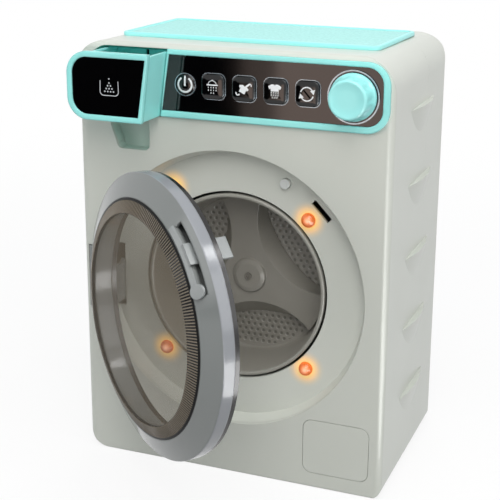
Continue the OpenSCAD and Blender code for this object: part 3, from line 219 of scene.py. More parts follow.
# %% [markdown]
# ## Cards on the floor
# Shiny black plastic shows what stands before it. In a studio, black and coloured cards are
# laid there to choose what it shows. These cards are seen by reflections only: each is a
# fan that starts where the camera's mirror image behind the panel would be, so its edges
# look upright in the panel.

# %% Cards
MIRRORED_EYE = (0.3097, 0.637)
CARD_NEAR, CARD_FAR = -0.95, -2.4
CARD_LIFT = 0.0005       # keeps the cards off the floor's own plane
BLACK, WARM_BROWN = (0, 0, 0, 1), (1.0, 0.78, 0.68, 1)

def floor_card(name, corners, colour, strength):
    bm = bmesh.new()
    bm.faces.new([bm.verts.new((x, y, CARD_LIFT)) for x, y in corners])
    bmesh.ops.recalc_face_normals(bm, faces=bm.faces)
    mesh = bpy.data.meshes.new(name)
    bm.to_mesh(mesh)
    bm.free()
    mat = bpy.data.materials.new(name)
    mat.use_nodes = True
    glow = mat.node_tree.nodes.new("ShaderNodeEmission")
    glow.inputs["Color"].default_value = colour
    glow.inputs["Strength"].default_value = strength
    result = mat.node_tree.nodes["Material Output"]
    mat.node_tree.links.new(glow.outputs[0], result.inputs["Surface"])
    mesh.materials.append(mat)
    card = bpy.data.objects.new(name, mesh)
    bpy.context.collection.objects.link(card)
    card.visible_camera = card.visible_diffuse = card.visible_shadow = False
    card.visible_transmission = card.visible_volume_scatter = False
    return card

def fan(left, right):
    """The corners of a card between two slopes from the mirrored eye."""
    return [(MIRRORED_EYE[0] - slope * (MIRRORED_EYE[1] - y), y)
            for slope, y in ((left, CARD_NEAR), (right, CARD_NEAR),
                             (right, CARD_FAR), (left, CARD_FAR))]

cards = [floor_card("black_card", fan(0.80, 0.424), BLACK, 0.0),
         floor_card("dim_brown_card", fan(0.424, 0.392), WARM_BROWN, 1.1),
         floor_card("brown_card", fan(0.392, 0.27), WARM_BROWN, 2.7)]
print("cards", [c.name for c in cards])

# %% [markdown]
# ## Materials
# Moulded plastic is never one flat colour. Its gloss varies a little where the mould was
# worn, and its sharp corners are really small rounds that catch the light. So each
# plastic mixes a faint cloud of noise into its colour and roughness, and a Bevel node
# rounds the edges of its normals by a fraction of a millimetre, which needs no new mesh.

# %% Screen colours
def paint(red, green, blue):
    """A screen colour from 0 to 255, as the linear numbers that a shader takes."""
    def linear(v):
        v /= 255
        return v / 12.92 if v <= 0.04045 else ((v + 0.055) / 1.055) ** 2.4
    return (linear(red), linear(green), linear(blue), 1.0)

print("middle grey", tuple(round(v, 3) for v in paint(128, 128, 128)))

# %% Node helpers
class Recipe:
    """A new material and short ways to add nodes to it."""
    def __init__(self, name):
        self.mat = bpy.data.materials.new(name)
        self.mat.use_nodes = True
        self.tree = self.mat.node_tree
        self.shader = self.tree.nodes["Principled BSDF"]

    def node(self, kind, **links):
        made = self.tree.nodes.new("ShaderNode" + kind)
        for socket, value in links.items():
            self.feed(value, made.inputs[socket.replace("_", " ")])
        return made

    def feed(self, value, socket):
        if isinstance(value, bpy.types.NodeSocket):
            self.tree.links.new(value, socket)
        else:
            socket.default_value = value

    def math(self, operation, first, second=0.0, third=0.0):
        made = self.tree.nodes.new("ShaderNodeMath")
        made.operation = operation
        for socket, value in zip(made.inputs, (first, second, third)):
            self.feed(value, socket)
        return made.outputs[0]

    def place(self):
        """The point itself, in metres: a node's object sits at the origin."""
        return self.node("TexCoord").outputs["Object"]

    def axes(self):
        return self.node("SeparateXYZ", Vector=self.place()).outputs

    def length(self, first, second):
        """The long side of a right triangle with these short sides."""
        return self.math("SQRT", self.math("ADD", self.math("POWER", first, 2.0),
                                           self.math("POWER", second, 2.0)))

    def less(self, value):
        """1 minus a value."""
        return self.math("SUBTRACT", 1.0, value)

    def noise(self, scale, detail=3.0, roughness=0.5):
        made = self.node("TexNoise", Vector=self.place(), Scale=scale, Detail=detail,
                         Roughness=roughness)
        return made.outputs["Fac"]

    def spread(self, value, low, high):
        """Maps 0.3 to 0.7, where noise mostly lies, to low to high."""
        made = self.node("MapRange", Value=value)
        for socket, number in zip(("From Min", "From Max", "To Min", "To Max"),
                                  (0.3, 0.7, low, high)):
            made.inputs[socket].default_value = number
        return made.outputs["Result"]

    def blend(self, factor, first, second):
        made = self.tree.nodes.new("ShaderNodeMix")
        made.data_type = "RGBA"
        self.feed(factor, made.inputs["Factor"])
        self.feed(first, made.inputs[6])
        self.feed(second, made.inputs[7])
        return made.outputs[2]

    def step(self, value, low, high):
        """0 below low, 1 above high, and smooth between."""
        made = self.node("MapRange", Value=value)
        made.interpolation_type = "SMOOTHSTEP"
        made.inputs["From Min"].default_value = low
        made.inputs["From Max"].default_value = high
        return made.outputs["Result"]

    def relief(self, height, depth, strength=1.0, edge=None):
        """A bump of that depth in metres, on normals rounded at the edges."""
        bump = self.node("Bump", Height=height, Distance=depth, Strength=strength)
        if edge:
            rounded = self.node("Bevel", Radius=edge)
            rounded.samples = 6
            self.tree.links.new(rounded.outputs[0], bump.inputs["Normal"])
        self.tree.links.new(bump.outputs[0], self.shader.inputs["Normal"])

    def colour(self, value):
        self.feed(value, self.shader.inputs["Base Color"])

print("node helpers ready")

# %% Plastic recipe
def plastic(name, tint, roughness, edge=0.3, grain=0.002, variation=0.03):
    """Moulded plastic. edge and grain are in millimetres."""
    r = Recipe(name)
    cloud = r.noise(11.0, 2.0)
    darker = tuple(c * (1 - variation) for c in tint[:3]) + (1,)
    lighter = tuple(min(1, c * (1 + variation)) for c in tint[:3]) + (1,)
    r.colour(r.blend(r.spread(cloud, 0, 1), darker, lighter))
    r.feed(r.spread(r.noise(26.0, 2.0), roughness - 0.015, roughness + 0.025),
           r.shader.inputs["Roughness"])
    r.shader.inputs["IOR"].default_value = 1.5
    r.relief(r.noise(300.0, 1.0), grain * MM, 1.0, edge * MM)
    return r

print("plastic recipe ready")

# %% [markdown]
# ## Lamp light on the plastic
# Four orange lamps stand round the drum, and each throws a warm patch on the plastic close
# to it. Real lamps so small would need many samples before they showed no noise. So the
# plastic itself warms and glows a little by its distance to each lamp, which moves with
# the toy and looks the same from every side. The patch at the upper left is wider: it gets
# one more spot, nearer the rim.

# %% Lamp glow
LAMP_RING, LAMP_Y = 71, -60.5       # radius of the ring of lamps and its place, in mm
GLOW_REACH, GLOW_STRENGTH = 0.0145, 0.75
lamp_spots = [(LAMP_RING * math.cos(math.radians(a)) * MM, LAMP_Y * MM,
               (AXIS_Z + LAMP_RING * math.sin(math.radians(a))) * MM) for a in (45, 135, 225, 315)]
glow_spots = lamp_spots + [(-43.5 * MM, LAMP_Y * MM, 191 * MM)]

def with_glow(r):
    """Adds the warm light that lamps throw on the plastic close round them."""
    total = None
    for spot in glow_spots:
        gap = r.node("VectorMath", Vector=r.place())
        gap.operation = "DISTANCE"
        gap.inputs[1].default_value = spot
        near = r.less(r.step(gap.outputs["Value"], 2 * MM, GLOW_REACH))
        near = r.math("POWER", near, 1.5)
        total = near if total is None else r.math("MAXIMUM", total, near)
    plain = r.shader.inputs["Base Color"].links[0].from_socket
    r.colour(r.blend(r.math("MULTIPLY", total, 0.85), plain, paint(236, 160, 60)))
    r.feed(r.blend(r.step(total, 0.1, 0.8), (1.0, 0.60, 0.10, 1), (1.0, 0.64, 0.14, 1)),
           r.shader.inputs["Emission Color"])
    r.feed(r.math("MULTIPLY", total, GLOW_STRENGTH), r.shader.inputs["Emission Strength"])
    return r

print("glow spots", len(glow_spots))

# %% [markdown]
# ## Plastics
# The toy is nearly all plastic: a greyish white case, mint trim, black panels and a grey
# door. One table gives each finish its colour and gloss, and where a moulding has softer
# corners than the rest, the width of its rounded edge. The large parts' roughness stays
# above 0.28, because small changes about 0.27 can turn into patches in a denoised render.

# %% Plastic finishes
SHELL = paint(203, 206, 198)
TEAL = paint(154, 236, 232)
finishes = {
    "shell_white": with_glow(plastic("shell_plastic", SHELL, 0.31, 0.5, 0.002, 0.012)),
    "tub_grey": plastic("tub_plastic", paint(120, 122, 118), 0.5),
    "teal": plastic("mint_plastic", TEAL, 0.3, 1.0),
    # painted shade: the inner mint parts get a darker, deeper copy of the mint, for the shade they
    # sit in inside the case
    "teal_inner": plastic("mint_plastic_painted_shade", paint(0, 150, 135), 0.35, 0.4),
    "gloss_black": plastic("piano_black", paint(4, 4, 5), 0.05, 0.15, 0.0003),
    "ring_grey": plastic("ring_plastic", paint(126, 130, 129), 0.15, 0.7, 0.001),
    "frame_black": plastic("frame_plastic", paint(26, 25, 24), 0.2, 0.3),
    "pin_white": plastic("pin_plastic", paint(215, 218, 216), 0.3, 0.4),
    "lip_grey": plastic("lip_plastic", paint(156, 155, 147), 0.34, 0.4),
    "board_green": plastic("board_lacquer", paint(30, 96, 54), 0.35, 0.1),
    "black_plastic": plastic("switch_plastic", paint(32, 32, 33), 0.45, 0.2),
    "grey_plastic": plastic("encoder_plastic", paint(84, 85, 88), 0.45, 0.2),
    "gear_cream": plastic("acetal", paint(224, 217, 190), 0.4, 0.1),
    "battery_can": plastic("battery_jacket", paint(46, 48, 54), 0.3, 0.4),
}
finishes = {slot: recipe.mat for slot, recipe in finishes.items()}
print("plastics", len(finishes))

# %% Finishes of single parts
rim_mint = plastic("rim_mint_plastic", TEAL, 0.24, 1.7).mat
# painted shade: the scoop gets a greener copy of the shell plastic, for the look of its shaded
# hollow under the drawer
scoop_painted_shade = plastic("scoop_plastic_painted_shade", paint(192, 208, 198), 0.3, 0.5).mat
# painted light: the dish gets a paler copy of the shell plastic, so that its recess, which is lit
# less, looks as bright as the front
dish_painted_light = with_glow(plastic("dish_plastic_painted_light", paint(212, 215, 207), 0.31, 0.5, 0.002, 0.012)).mat
lever_grey = plastic("lever_plastic", paint(140, 144, 144), 0.16, 0.5, 0.001).mat
knob_mint = plastic("knob_mint_plastic", paint(160, 236, 234), 0.24, 0.6).mat
print("single finishes", rim_mint.name, scoop_painted_shade.name, dish_painted_light.name, lever_grey.name,
      knob_mint.name)

# %% [markdown]
# ## Metals
# Metal is a coloured mirror: Metallic is 1 and the Roughness says how it was finished. A
# very fine noise in the roughness and the bump gives the dull grain of a turned screw or
# shaft. Plated trim has the grain in its gloss only, so that it stays smooth.

# %% Metals
def metal(name, tint, roughness, streaks=True):
    r = Recipe(name)
    darker = tuple(c * 0.9 for c in tint[:3]) + (1,)
    r.colour(r.blend(r.spread(r.noise(90.0), 0, 1), darker, tint))
    r.shader.inputs["Metallic"].default_value = 1.0
    lines = r.noise(700.0, 5.0, 0.6)
    r.feed(r.spread(lines, roughness, roughness + 0.12), r.shader.inputs["Roughness"])
    if streaks:
        r.relief(lines, 0.004 * MM, 0.5, 0.15 * MM)
    return r.mat

finishes["steel"] = metal("zinc_steel", paint(190, 192, 196), 0.24)
finishes["bush_brass"] = metal("sintered_brass", paint(196, 160, 92), 0.35)
finishes["bright_trim"] = metal("plated_trim", paint(150, 165, 175), 0.16, streaks=False)
dull_steel = metal("dull_steel", paint(126, 123, 116), 0.42)
print("finishes with metals", len(finishes))

# %% [markdown]
# ## Top cover
# The cover has a smooth raised border and a finely mottled field that hides scratches.
# The mottle follows the place on the cover, so one material serves both: the noise only
# counts inside the border.

# %% Top cover material
COVER_BORDER = 3.0 * MM
r = Recipe("mottled_mint")
low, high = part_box("top_cover")
middle, half = (low + high) / 2, (high - low) / 2
axes = r.axes()
insets = [r.math("SUBTRACT", half[k] - COVER_BORDER,
                 r.math("ABSOLUTE", r.math("SUBTRACT", axes[k], middle[k]))) for k in (0, 1)]
from_edge = r.math("MINIMUM", *insets)
field = r.step(from_edge, 0.0, 0.8 * MM)
mottle = r.noise(520.0, 5.0, 0.65)
light_mint, dark_mint = paint(176, 234, 230), paint(146, 212, 206)
r.colour(r.blend(field, TEAL, r.blend(r.spread(mottle, 0, 1), dark_mint, light_mint)))
r.feed(r.math("ADD", 0.28, r.math("MULTIPLY", field, 0.2)), r.shader.inputs["Roughness"])
r.relief(r.math("MULTIPLY", field, mottle), 0.25 * MM, 1.0, 0.7 * MM)
finishes["teal_cover"] = r.mat
print("cover field", round(2 * (half.x - COVER_BORDER) / MM), "mm wide")

# %% [markdown]
# ## Drum
# The drum's pocket floors are dimpled in staggered rows, and each dimple is darkened with
# painted shade as well as bumped in. A dimple here is the distance to the nearest point of a
# lattice: the fraction of a coordinate divided by the pitch repeats it, and a second lattice
# shifted by half a step makes the rows staggered.

# %% Dimples
ROW_PITCH = 1.73         # staggered rows lie this many pitches apart, two by two
WHOLE_STEPS = 50         # keeps the divided coordinate above zero

def dimples(r, across, along, pitch, radius):
    """1 in the middle of each dimple, fading to 0 at its rim."""
    def from_lattice(value, step, shift):
        steps = r.math("ADD", r.math("DIVIDE", value, step), WHOLE_STEPS + shift)
        return r.math("MULTIPLY", r.math("SUBTRACT", r.math("FRACT", steps), 0.5), step)
    nearest = None
    for shift in (0.0, 0.5):
        gap = r.length(from_lattice(across, pitch, shift),
                       from_lattice(along, pitch * ROW_PITCH, shift))
        nearest = gap if nearest is None else r.math("MINIMUM", nearest, gap)
    return r.less(r.step(nearest, radius * 0.45, radius))

print("dimple helper ready")

# %% Drum material
DIMPLE_PITCH, DIMPLE_RADIUS, DIMPLED_WITHIN = 4.4 * MM, 1.55 * MM, 52 * MM

def drum_material(name, dimpled):
    r = Recipe(name)
    cloud = r.noise(18.0, 3.0)
    plain = r.blend(r.spread(cloud, 0, 1), paint(136, 133, 125), paint(148, 145, 137))
    r.shader.inputs["Roughness"].default_value = 0.28
    height = r.math("MULTIPLY", r.noise(300.0, 1.0), 0.01)
    if dimpled:
        axes = r.axes()
        x, z = axes[0], r.math("SUBTRACT", axes[2], AXIS_Z * MM)
        on_floor = r.less(r.step(r.length(x, z), DIMPLED_WITHIN, DIMPLED_WITHIN + 0.5 * MM))
        dots = r.math("MULTIPLY", dimples(r, x, z, DIMPLE_PITCH, DIMPLE_RADIUS), on_floor)
        # painted shade: the dimples are darkened towards a deep grey, for the shade that falls in
        # them
        plain = r.blend(r.math("MULTIPLY", dots, 0.45), plain, paint(66, 63, 57))
        height = r.math("SUBTRACT", height, dots)
    r.colour(plain)
    r.relief(height, 0.5 * MM, 0.8, 0.8 * MM)
    return r.mat

finishes["drum_grey"] = drum_material("drum_plastic", False)
dimpled_drum = drum_material("dimpled_drum_plastic", True)
print("drum finishes", finishes["drum_grey"].name, dimpled_drum.name)

# %% [markdown]
# ## Door window
# The window is smoky clear plastic. Its black rim is painted shade for the dark gap at the
# ring, and its sloping edge is darkened with painted shade under a row of fine ribs, which are
# made as bars further on. Both bands lie at a distance from the door's own middle, so a Mapping
# node first takes each point into the closed door's place: it undoes the door's move and its
# turn about Z.

# %% The door's own place
HINGE = Vector((-98 * MM, -69.8 * MM, 0))
OPEN = math.radians(36.5)

def swung(point):
    """Where a point of the closed door lies on the open door."""
    return Matrix.Rotation(-OPEN, 3, "Z") @ (Vector(point) - HINGE) + HINGE

def door_place(r):
    """Coordinates in the closed door's own frame, with its middle at the origin."""
    into = r.node("Mapping", Vector=r.place())
    into.vector_type = "TEXTURE"
    into.inputs["Location"].default_value = swung((0, 0, AXIS_Z * MM))
    into.inputs["Rotation"].default_value = (0, 0, -OPEN)
    return r.node("SeparateXYZ", Vector=into.outputs[0]).outputs

def door_radius(r):
    """The distance from the door's own middle."""
    axes = door_place(r)
    return r.length(axes[0], axes[2])

print("door middle", tuple(round(v, 4) for v in swung((0, 0, AXIS_Z * MM))))

# %% Window material
RIB_FROM, RIB_TO = 65.5, 72.9     # the ribs' inner and outer radius, in mm
r = Recipe("smoky_window")
radius = door_radius(r)
# painted shade: a near-black rim for the shaded gap at the ring, and a dark, dense band under the
# ribs for the shade between them
rim = r.step(radius, RIB_TO * MM, 73.1 * MM)
shaded_valley = r.math("MULTIPLY", r.step(radius, 65.0 * MM, RIB_FROM * MM), r.less(rim))
smoke = r.blend(r.spread(r.noise(30.0), 0, 1), paint(104, 88, 60), paint(112, 95, 66))
r.colour(r.blend(rim, r.blend(shaded_valley, smoke, paint(16, 13, 10)), paint(8, 8, 8)))
density = r.math("ADD", 0.3, r.math("MULTIPLY", shaded_valley, 0.6))
r.feed(r.math("MAXIMUM", density, rim), r.shader.inputs["Alpha"])
r.shader.inputs["Roughness"].default_value = 0.07
r.shader.inputs["Specular IOR Level"].default_value = 0.3
finishes["smoky_window"] = r.mat
print("window", len(r.tree.nodes), "nodes")

# %% [markdown]
# ## Door ring
# The ring's sloping face is a plain grey. Its outer wall, which shines more, is painted a little
# lighter and cooler: a painted sheen. The door's own place gives the distance from its middle,
# and one step at the wall's radius changes the colour.

# %% Ring material
WALL_FROM, WALL_WHOLE = 88.75, 88.95      # radii in mm between which the face turns into wall
ring = plastic("ring_plastic_painted_sheen", paint(126, 130, 129), 0.13, 1.5, 0.0006)
face = ring.shader.inputs["Base Color"].links[0].from_socket
# painted sheen: the outer wall is painted lighter and cooler because it shines more
sheen_on_wall = ring.step(door_radius(ring), WALL_FROM * MM, WALL_WHOLE * MM)
ring.colour(ring.blend(sheen_on_wall, face, paint(143, 146, 151)))
ring_with_painted_sheen = ring.mat
print("ring wall from", WALL_WHOLE, "mm")

# %% [markdown]
# ## Lamps
# A lamp lens glows from within: hottest near its middle and deep orange at its rim. Each
# point's heat comes from its distance to the hot spot of the nearest lens, which lies a
# little aside and above the lens's own middle.

# %% Lamp material
HOT_ASIDE, HOT_UP, HOT_Y = 0.8 * MM, 0.6 * MM, -63 * MM
r = Recipe("orange_lens")
nearest = None
for spot in lamp_spots:
    gap = r.node("VectorMath", Vector=r.place())
    gap.operation = "DISTANCE"
    gap.inputs[1].default_value = (spot[0] + HOT_ASIDE, HOT_Y, spot[2] + HOT_UP)
    value = gap.outputs["Value"]
    nearest = value if nearest is None else r.math("MINIMUM", nearest, value)
heat = r.less(r.step(nearest, 0.6 * MM, 4.4 * MM))
r.colour(paint(238, 118, 52))
r.feed(r.blend(heat, (1.0, 0.25, 0.05, 1), (1.0, 0.66, 0.46, 1)),
       r.shader.inputs["Emission Color"])
r.feed(r.math("ADD", 0.1, r.math("MULTIPLY", heat, 0.6)), r.shader.inputs["Emission Strength"])
r.shader.inputs["Roughness"].default_value = 0.15
finishes["lamp_orange"] = r.mat
print("lenses", len(lamp_spots))

# %% [markdown]
# ## Dressing the solids
# The solids come with no finish. Each one's record names a material slot, so one loop
# gives every node the finish of its slot. A few parts then get a finish of their own. In the
# scoop and the dish it is the same plastic with painted light and shade: deeper and greener
# in the scoop's shaded hollow, and paler in the dish, whose recess is lit less.

# %% Dress the nodes
own_finishes = {"drum_shell": dimpled_drum, "control_bezel": rim_mint, "drawer_front": rim_mint,
                "scoop_cup": scoop_painted_shade, "recess_dish": dish_painted_light, "latch_lever": lever_grey,
                "hub_screw": dull_steel, "door_ring": ring_with_painted_sheen}
for part in frame["record"]["subparts"]:
    data = nodes[part["node"]].data
    data.materials.clear()
    data.materials.append(finishes[part["material_slot"]])
for name, finish in own_finishes.items():
    nodes[name].data.materials[0] = finish

# %% [markdown]
# ## Making a piece
# A flat outline on the panel is drawn in u, to the right, and v, up, and w points out of
# the panel. One rotation by a quarter turn about X puts it upright. The finished piece's
# object stays at the origin, with its place in its mesh, as the solids have.

# %% Piece helpers
UPRIGHT = Matrix.Rotation(math.radians(90), 4, "X")
SAME_PLACE = 0.0005 * MM

def add_piece(name, bm, material, slot, body, *replaced, smooth=30):
    """Makes the piece, smooth up to that angle in degrees, and hands it to its body."""
    mesh = bpy.data.meshes.new(name)
    bmesh.ops.recalc_face_normals(bm, faces=bm.faces)
    bm.to_mesh(mesh)
    bm.free()
    mesh.materials.append(material)
    piece = bpy.data.objects.new(name, mesh)
    bpy.context.collection.objects.link(piece)
    for face in mesh.polygons:
        face.use_smooth = True
    mesh.set_sharp_from_angle(angle=math.radians(smooth))
    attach(piece, body)
    if replaced:
        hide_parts(*replaced)
    print(name, len(mesh.polygons), "faces")
    return piece

def stand_up(bm, x, z, front):
    """From (u, v, w) on the panel to the upright panel, w starting at that front."""
    bmesh.ops.transform(bm, verts=bm.verts,
                        matrix=Matrix.Translation((x * MM, -front * MM, z * MM)) @ UPRIGHT)

def spin_whole(bm, profile, steps):
    """Turns a profile once round the w axis and closes its seam and poles."""
    bmesh.ops.spin(bm, geom=profile, cent=(0, 0, 0), axis=(0, 0, 1), angle=2 * math.pi,
                   steps=steps, use_merge=True)
    bmesh.ops.remove_doubles(bm, verts=bm.verts, dist=SAME_PLACE)

def hang_on_door(bm):
    """From the closed door's own (u, v, w) to the open door."""
    stand_up(bm, 0, AXIS_Z, 0)
    bmesh.ops.translate(bm, verts=bm.verts, vec=-HINGE)
    bmesh.ops.rotate(bm, verts=bm.verts, cent=(0, 0, 0), matrix=Matrix.Rotation(-OPEN, 3, "Z"))
    bmesh.ops.translate(bm, verts=bm.verts, vec=HINGE)

print("piece helpers ready")

# %% [markdown]
# ## Button caps
# Each square cap is a shallow pillow of glossy plastic. A block with beveled corners gives
# its outline, and a few insets of the front face, each a little higher and less steep than
# the last, raise the pillow. The flange behind keeps the cap in the panel.

# %% Cap block
def cap_block(bm, width, height, corner, low, high, steps):
    """A block from low to high with round corners; steps of (inset, rise) crown its front."""
    made = bmesh.ops.create_cube(bm, size=1.0)
    bmesh.ops.scale(bm, verts=made["verts"], vec=(width * MM, height * MM, (high - low) * MM))
    bmesh.ops.translate(bm, verts=made["verts"], vec=(0, 0, (high + low) / 2 * MM))
    posts = [e for e in bm.edges if all(v in made["verts"] for v in e.verts)
             and abs(e.verts[0].co.z - e.verts[1].co.z) > 0.5 * (high - low) * MM]
    bmesh.ops.bevel(bm, geom=posts, offset=corner * MM, segments=7, affect="EDGES",
                    profile=0.5, material=-1)
    bm.faces.ensure_lookup_table()
    front_face = max((f for f in bm.faces if f.normal.z > 0.9),
                     key=lambda f: f.calc_center_median().z)
    for thickness, rise in steps:
        bmesh.ops.inset_region(bm, faces=[front_face], thickness=thickness * MM, depth=rise * MM,
                               use_even_offset=True)
        front_face = max((f for f in bm.faces if f.normal.z > 0.9),
                         key=lambda f: (round(f.calc_center_median().z, 7), f.calc_area()))

print("cap block ready")

# %% Square caps
PILLOW = [(0.15, 0.12), (0.35, 0.08), (1.2, 0.1), (1.6, 0.07), (1.2, 0.03)]
BUTTON_X = [-9.0, 11.7, 32.4, 53.1]
CAP_FRONT = 67.3         # where the caps' shafts start, in mm before the middle of the toy
FLANGE_DEPTH = 1.8
caps = []
for i, x in enumerate(BUTTON_X):
    bm = bmesh.new()
    cap_block(bm, 14.8, 15.3, 3.6, 0, 5.6, PILLOW)
    cap_block(bm, 18.0, 18.5, 4.4, -FLANGE_DEPTH, 0.0, [])
    stand_up(bm, x, BUTTON_ROW, CAP_FRONT)
    caps.append(add_piece(f"cap_{i + 1}", bm, finishes["gloss_black"], "gloss_black",
                          f"button_{i + 1}_body", f"button_{i + 1}", smooth=50))

# %% [markdown]
# The power button is round. Two short cylinders make its shaft and its flange, and the
# same kind of insets crown it.

# %% Round power cap
POWER_X = -28.4
CROWN = [(0.3, 0.25), (0.5, 0.2), (1.1, 0.22), (1.6, 0.14), (1.2, 0.04)]
bm = bmesh.new()
for radius, low, high in ((6.5, 0.0, 3.6), (8.1, -FLANGE_DEPTH, 0.0)):
    bmesh.ops.create_cone(bm, cap_ends=True, segments=64, radius1=radius * MM,
                          radius2=radius * MM, depth=(high - low) * MM,
                          matrix=Matrix.Translation((0, 0, (high + low) / 2 * MM)))
bm.faces.ensure_lookup_table()
crown = max((f for f in bm.faces if len(f.verts) > 10), key=lambda f: f.calc_center_median().z)
for thickness, rise in CROWN:
    bmesh.ops.inset_region(bm, faces=[crown], thickness=thickness * MM, depth=rise * MM)
stand_up(bm, POWER_X, BUTTON_ROW, CAP_FRONT)
power_cap = add_piece("power_cap", bm, finishes["gloss_black"], "gloss_black",
                      "power_button_body", "power_button", smooth=50)

# %% [markdown]
# ## Printed pictures
# The white pictures are printed on the caps. Each is drawn flat from discs, bars, arcs and
# outlines, then dropped straight back onto the cap: a ray from each vertex
# finds the curved face, and the vertex stops just above it. The long edges are divided
# first, so the print bends with the pillow.

# %% Drawing helpers
def disc(bm, u, v, r, segments=16):
    bmesh.ops.create_circle(bm, cap_ends=True, segments=segments, radius=r * MM,
                            matrix=Matrix.Translation((u * MM, v * MM, 0)))

def outline(bm, points):
    bm.faces.new([bm.verts.new((u * MM, v * MM, 0)) for u, v in points])

def bar(bm, u0, v0, u1, v1, width):
    along = Vector((u1 - u0, v1 - v0))
    side = Vector((-along.y, along.x)).normalized() * width / 2
    a, b = Vector((u0, v0)), Vector((u1, v1))
    outline(bm, [a - side, b - side, b + side, a + side])

def arc(bm, u, v, r, width, start, end, steps=24):
    a = bm.verts.new(((r - width / 2) * MM, 0, 0))
    b = bm.verts.new(((r + width / 2) * MM, 0, 0))
    edge = bm.edges.new((a, b))
    bmesh.ops.rotate(bm, verts=[a, b], cent=(0, 0, 0),
                     matrix=Matrix.Rotation(math.radians(start), 3, "Z"))
    bmesh.ops.translate(bm, verts=[a, b], vec=(u * MM, v * MM, 0))
    bmesh.ops.spin(bm, geom=[a, b, edge], cent=(u * MM, v * MM, 0), axis=(0, 0, 1),
                   angle=math.radians(end - start), steps=steps)

print("drawing helpers ready")

# %% Printing
print_white = plastic("white_print", paint(236, 238, 240), 0.35, 0.05, 0.001).mat
print_grey = plastic("grey_print", paint(196, 200, 204), 0.35, 0.05, 0.001).mat
BEFORE_ALL = 110         # a plane before the whole panel, in mm
INK_LIFT, INK_DEPTH = 0.05 * MM, 0.03 * MM

def print_on(name, bm, x, z, body, target, ink=print_white, longest=1.6):
    """Drops a flat drawing onto the target and gives it a little thickness."""
    bmesh.ops.triangulate(bm, faces=bm.faces)
    for _ in range(3):
        long_edges = [e for e in bm.edges if e.calc_length() > longest * MM]
        if long_edges:
            bmesh.ops.subdivide_edges(bm, edges=long_edges, cuts=1)
            bmesh.ops.triangulate(bm, faces=bm.faces)
    stand_up(bm, x, z, BEFORE_ALL)
    bvh = BVHTree.FromObject(target, bpy.context.evaluated_depsgraph_get())
    for vert in bm.verts:
        hit = bvh.ray_cast(vert.co, Vector((0, 1, 0)))[0]
        vert.co.y = hit.y - INK_LIFT
    for face in bm.faces:
        if face.normal.y > 0:
            face.normal_flip()
    bmesh.ops.solidify(bm, geom=bm.faces[:], thickness=INK_DEPTH)
    return add_piece(name, bm, ink, "pin_white", body)

print("inks", print_white.name, print_grey.name)

# %% [markdown]
# The power sign is a ring that is open at the top, with an upright stroke in the gap.

# %% Power sign
bm = bmesh.new()
arc(bm, 0, 0, 4.6, 1.2, 121, 419, 40)
bar(bm, 0, -0.9, 0, 5.4, 1.2)
print_on("power_print", bm, POWER_X, BUTTON_ROW, "power_button_body", power_cap)

# %% [markdown]
# The rinse picture is a shower head over rows of drops: a thin dome, a brim and a nub.

# %% Rinse picture
def drops(bm, rows, pitch, width, length, lean=0.0, shift=0.0):
    """Rows of short strokes; rows gives for each its height and its number of drops."""
    for v, count in rows:
        for k in range(count):
            u = (k - (count - 1) / 2) * pitch + shift
            bar(bm, u + lean / 2, v + length / 2, u - lean / 2, v - length / 2, width)

bm = bmesh.new()
arc(bm, 0, 1.1, 2.85, 0.42, 12, 168, 20)
bar(bm, -3.8, 1.25, 3.8, 1.25, 0.75)
bar(bm, 0, 3.8, 0, 4.5, 0.8)
drops(bm, ((-0.3, 4), (-2.0, 4), (-3.7, 2)), 1.75, 0.5, 0.85)
print_on("rinse_print", bm, BUTTON_X[0], BUTTON_ROW, "button_1_body", caps[0])

# %% [markdown]
# The two shirts share one outline. The first is leant and gets a hook of hose above and a
# curl below; the second dissolves into a spray of short strokes.

# %% Leant shirt
def shirt(bm, tail, size=1.0):
    """Half an outline and its mirror image, with its hem at tail."""
    right = [(0.0, 3.9), (0.9, 4.5), (1.9, 4.5), (4.3, 3.2), (3.5, 1.3), (2.6, 1.9), (2.6, tail)]
    points = right + [(-a, b) for a, b in reversed(right[1:])]
    outline(bm, [(a * size, b * size) for a, b in points][::-1])

bm = bmesh.new()
shirt(bm, -1.7, 0.78)
bmesh.ops.translate(bm, verts=bm.verts, vec=(0, -1.1 * MM, 0))
bmesh.ops.rotate(bm, verts=bm.verts, cent=(0, 0, 0),
                 matrix=Matrix.Rotation(math.radians(-24), 3, "Z"))
arc(bm, -3.6, -2.5, 1.15, 0.75, 150, 345, 12)
bar(bm, 1.8, 1.7, 4.1, 3.3, 1.1)
arc(bm, 4.2, 2.5, 1.1, 0.6, -30, 110, 10)
print_on("spin_print", bm, BUTTON_X[1], BUTTON_ROW, "button_2_body", caps[1])

# %% Shirt over a spray
bm = bmesh.new()
shirt(bm, 0.2)
drops(bm, ((-0.6, 4), (-2.1, 4), (-3.6, 3)), 1.45, 0.5, 0.9, 0.6)
print_on("drip_print", bm, BUTTON_X[2], BUTTON_ROW, "button_3_body", caps[2])

# %% [markdown]
# The last button has two bent arrows that chase each other: an arc each, with a triangle
# for its head.

# %% Two round arrows
ARROW_RING = 4.1
bm = bmesh.new()
for tip_at in (15, 195):
    arc(bm, 0, 0, ARROW_RING, 0.72, tip_at + 14, tip_at + 150, 20)
    tip = math.radians(tip_at)
    out = Vector((math.cos(tip), math.sin(tip)))
    ahead = Vector((math.sin(tip), -math.cos(tip)))
    neck = out * ARROW_RING
    outline(bm, [neck + ahead * 1.4, neck + out * 1.65 - ahead * 1.5,
                 neck - out * 1.65 - ahead * 1.5])
print_on("cycle_print", bm, BUTTON_X[3], BUTTON_ROW, "button_4_body", caps[3])

# %% [markdown]
# The drawer's picture is a tray in outline with a heap of powder: rows of dots that grow
# by one. It is a little greyer than the pictures on the caps.

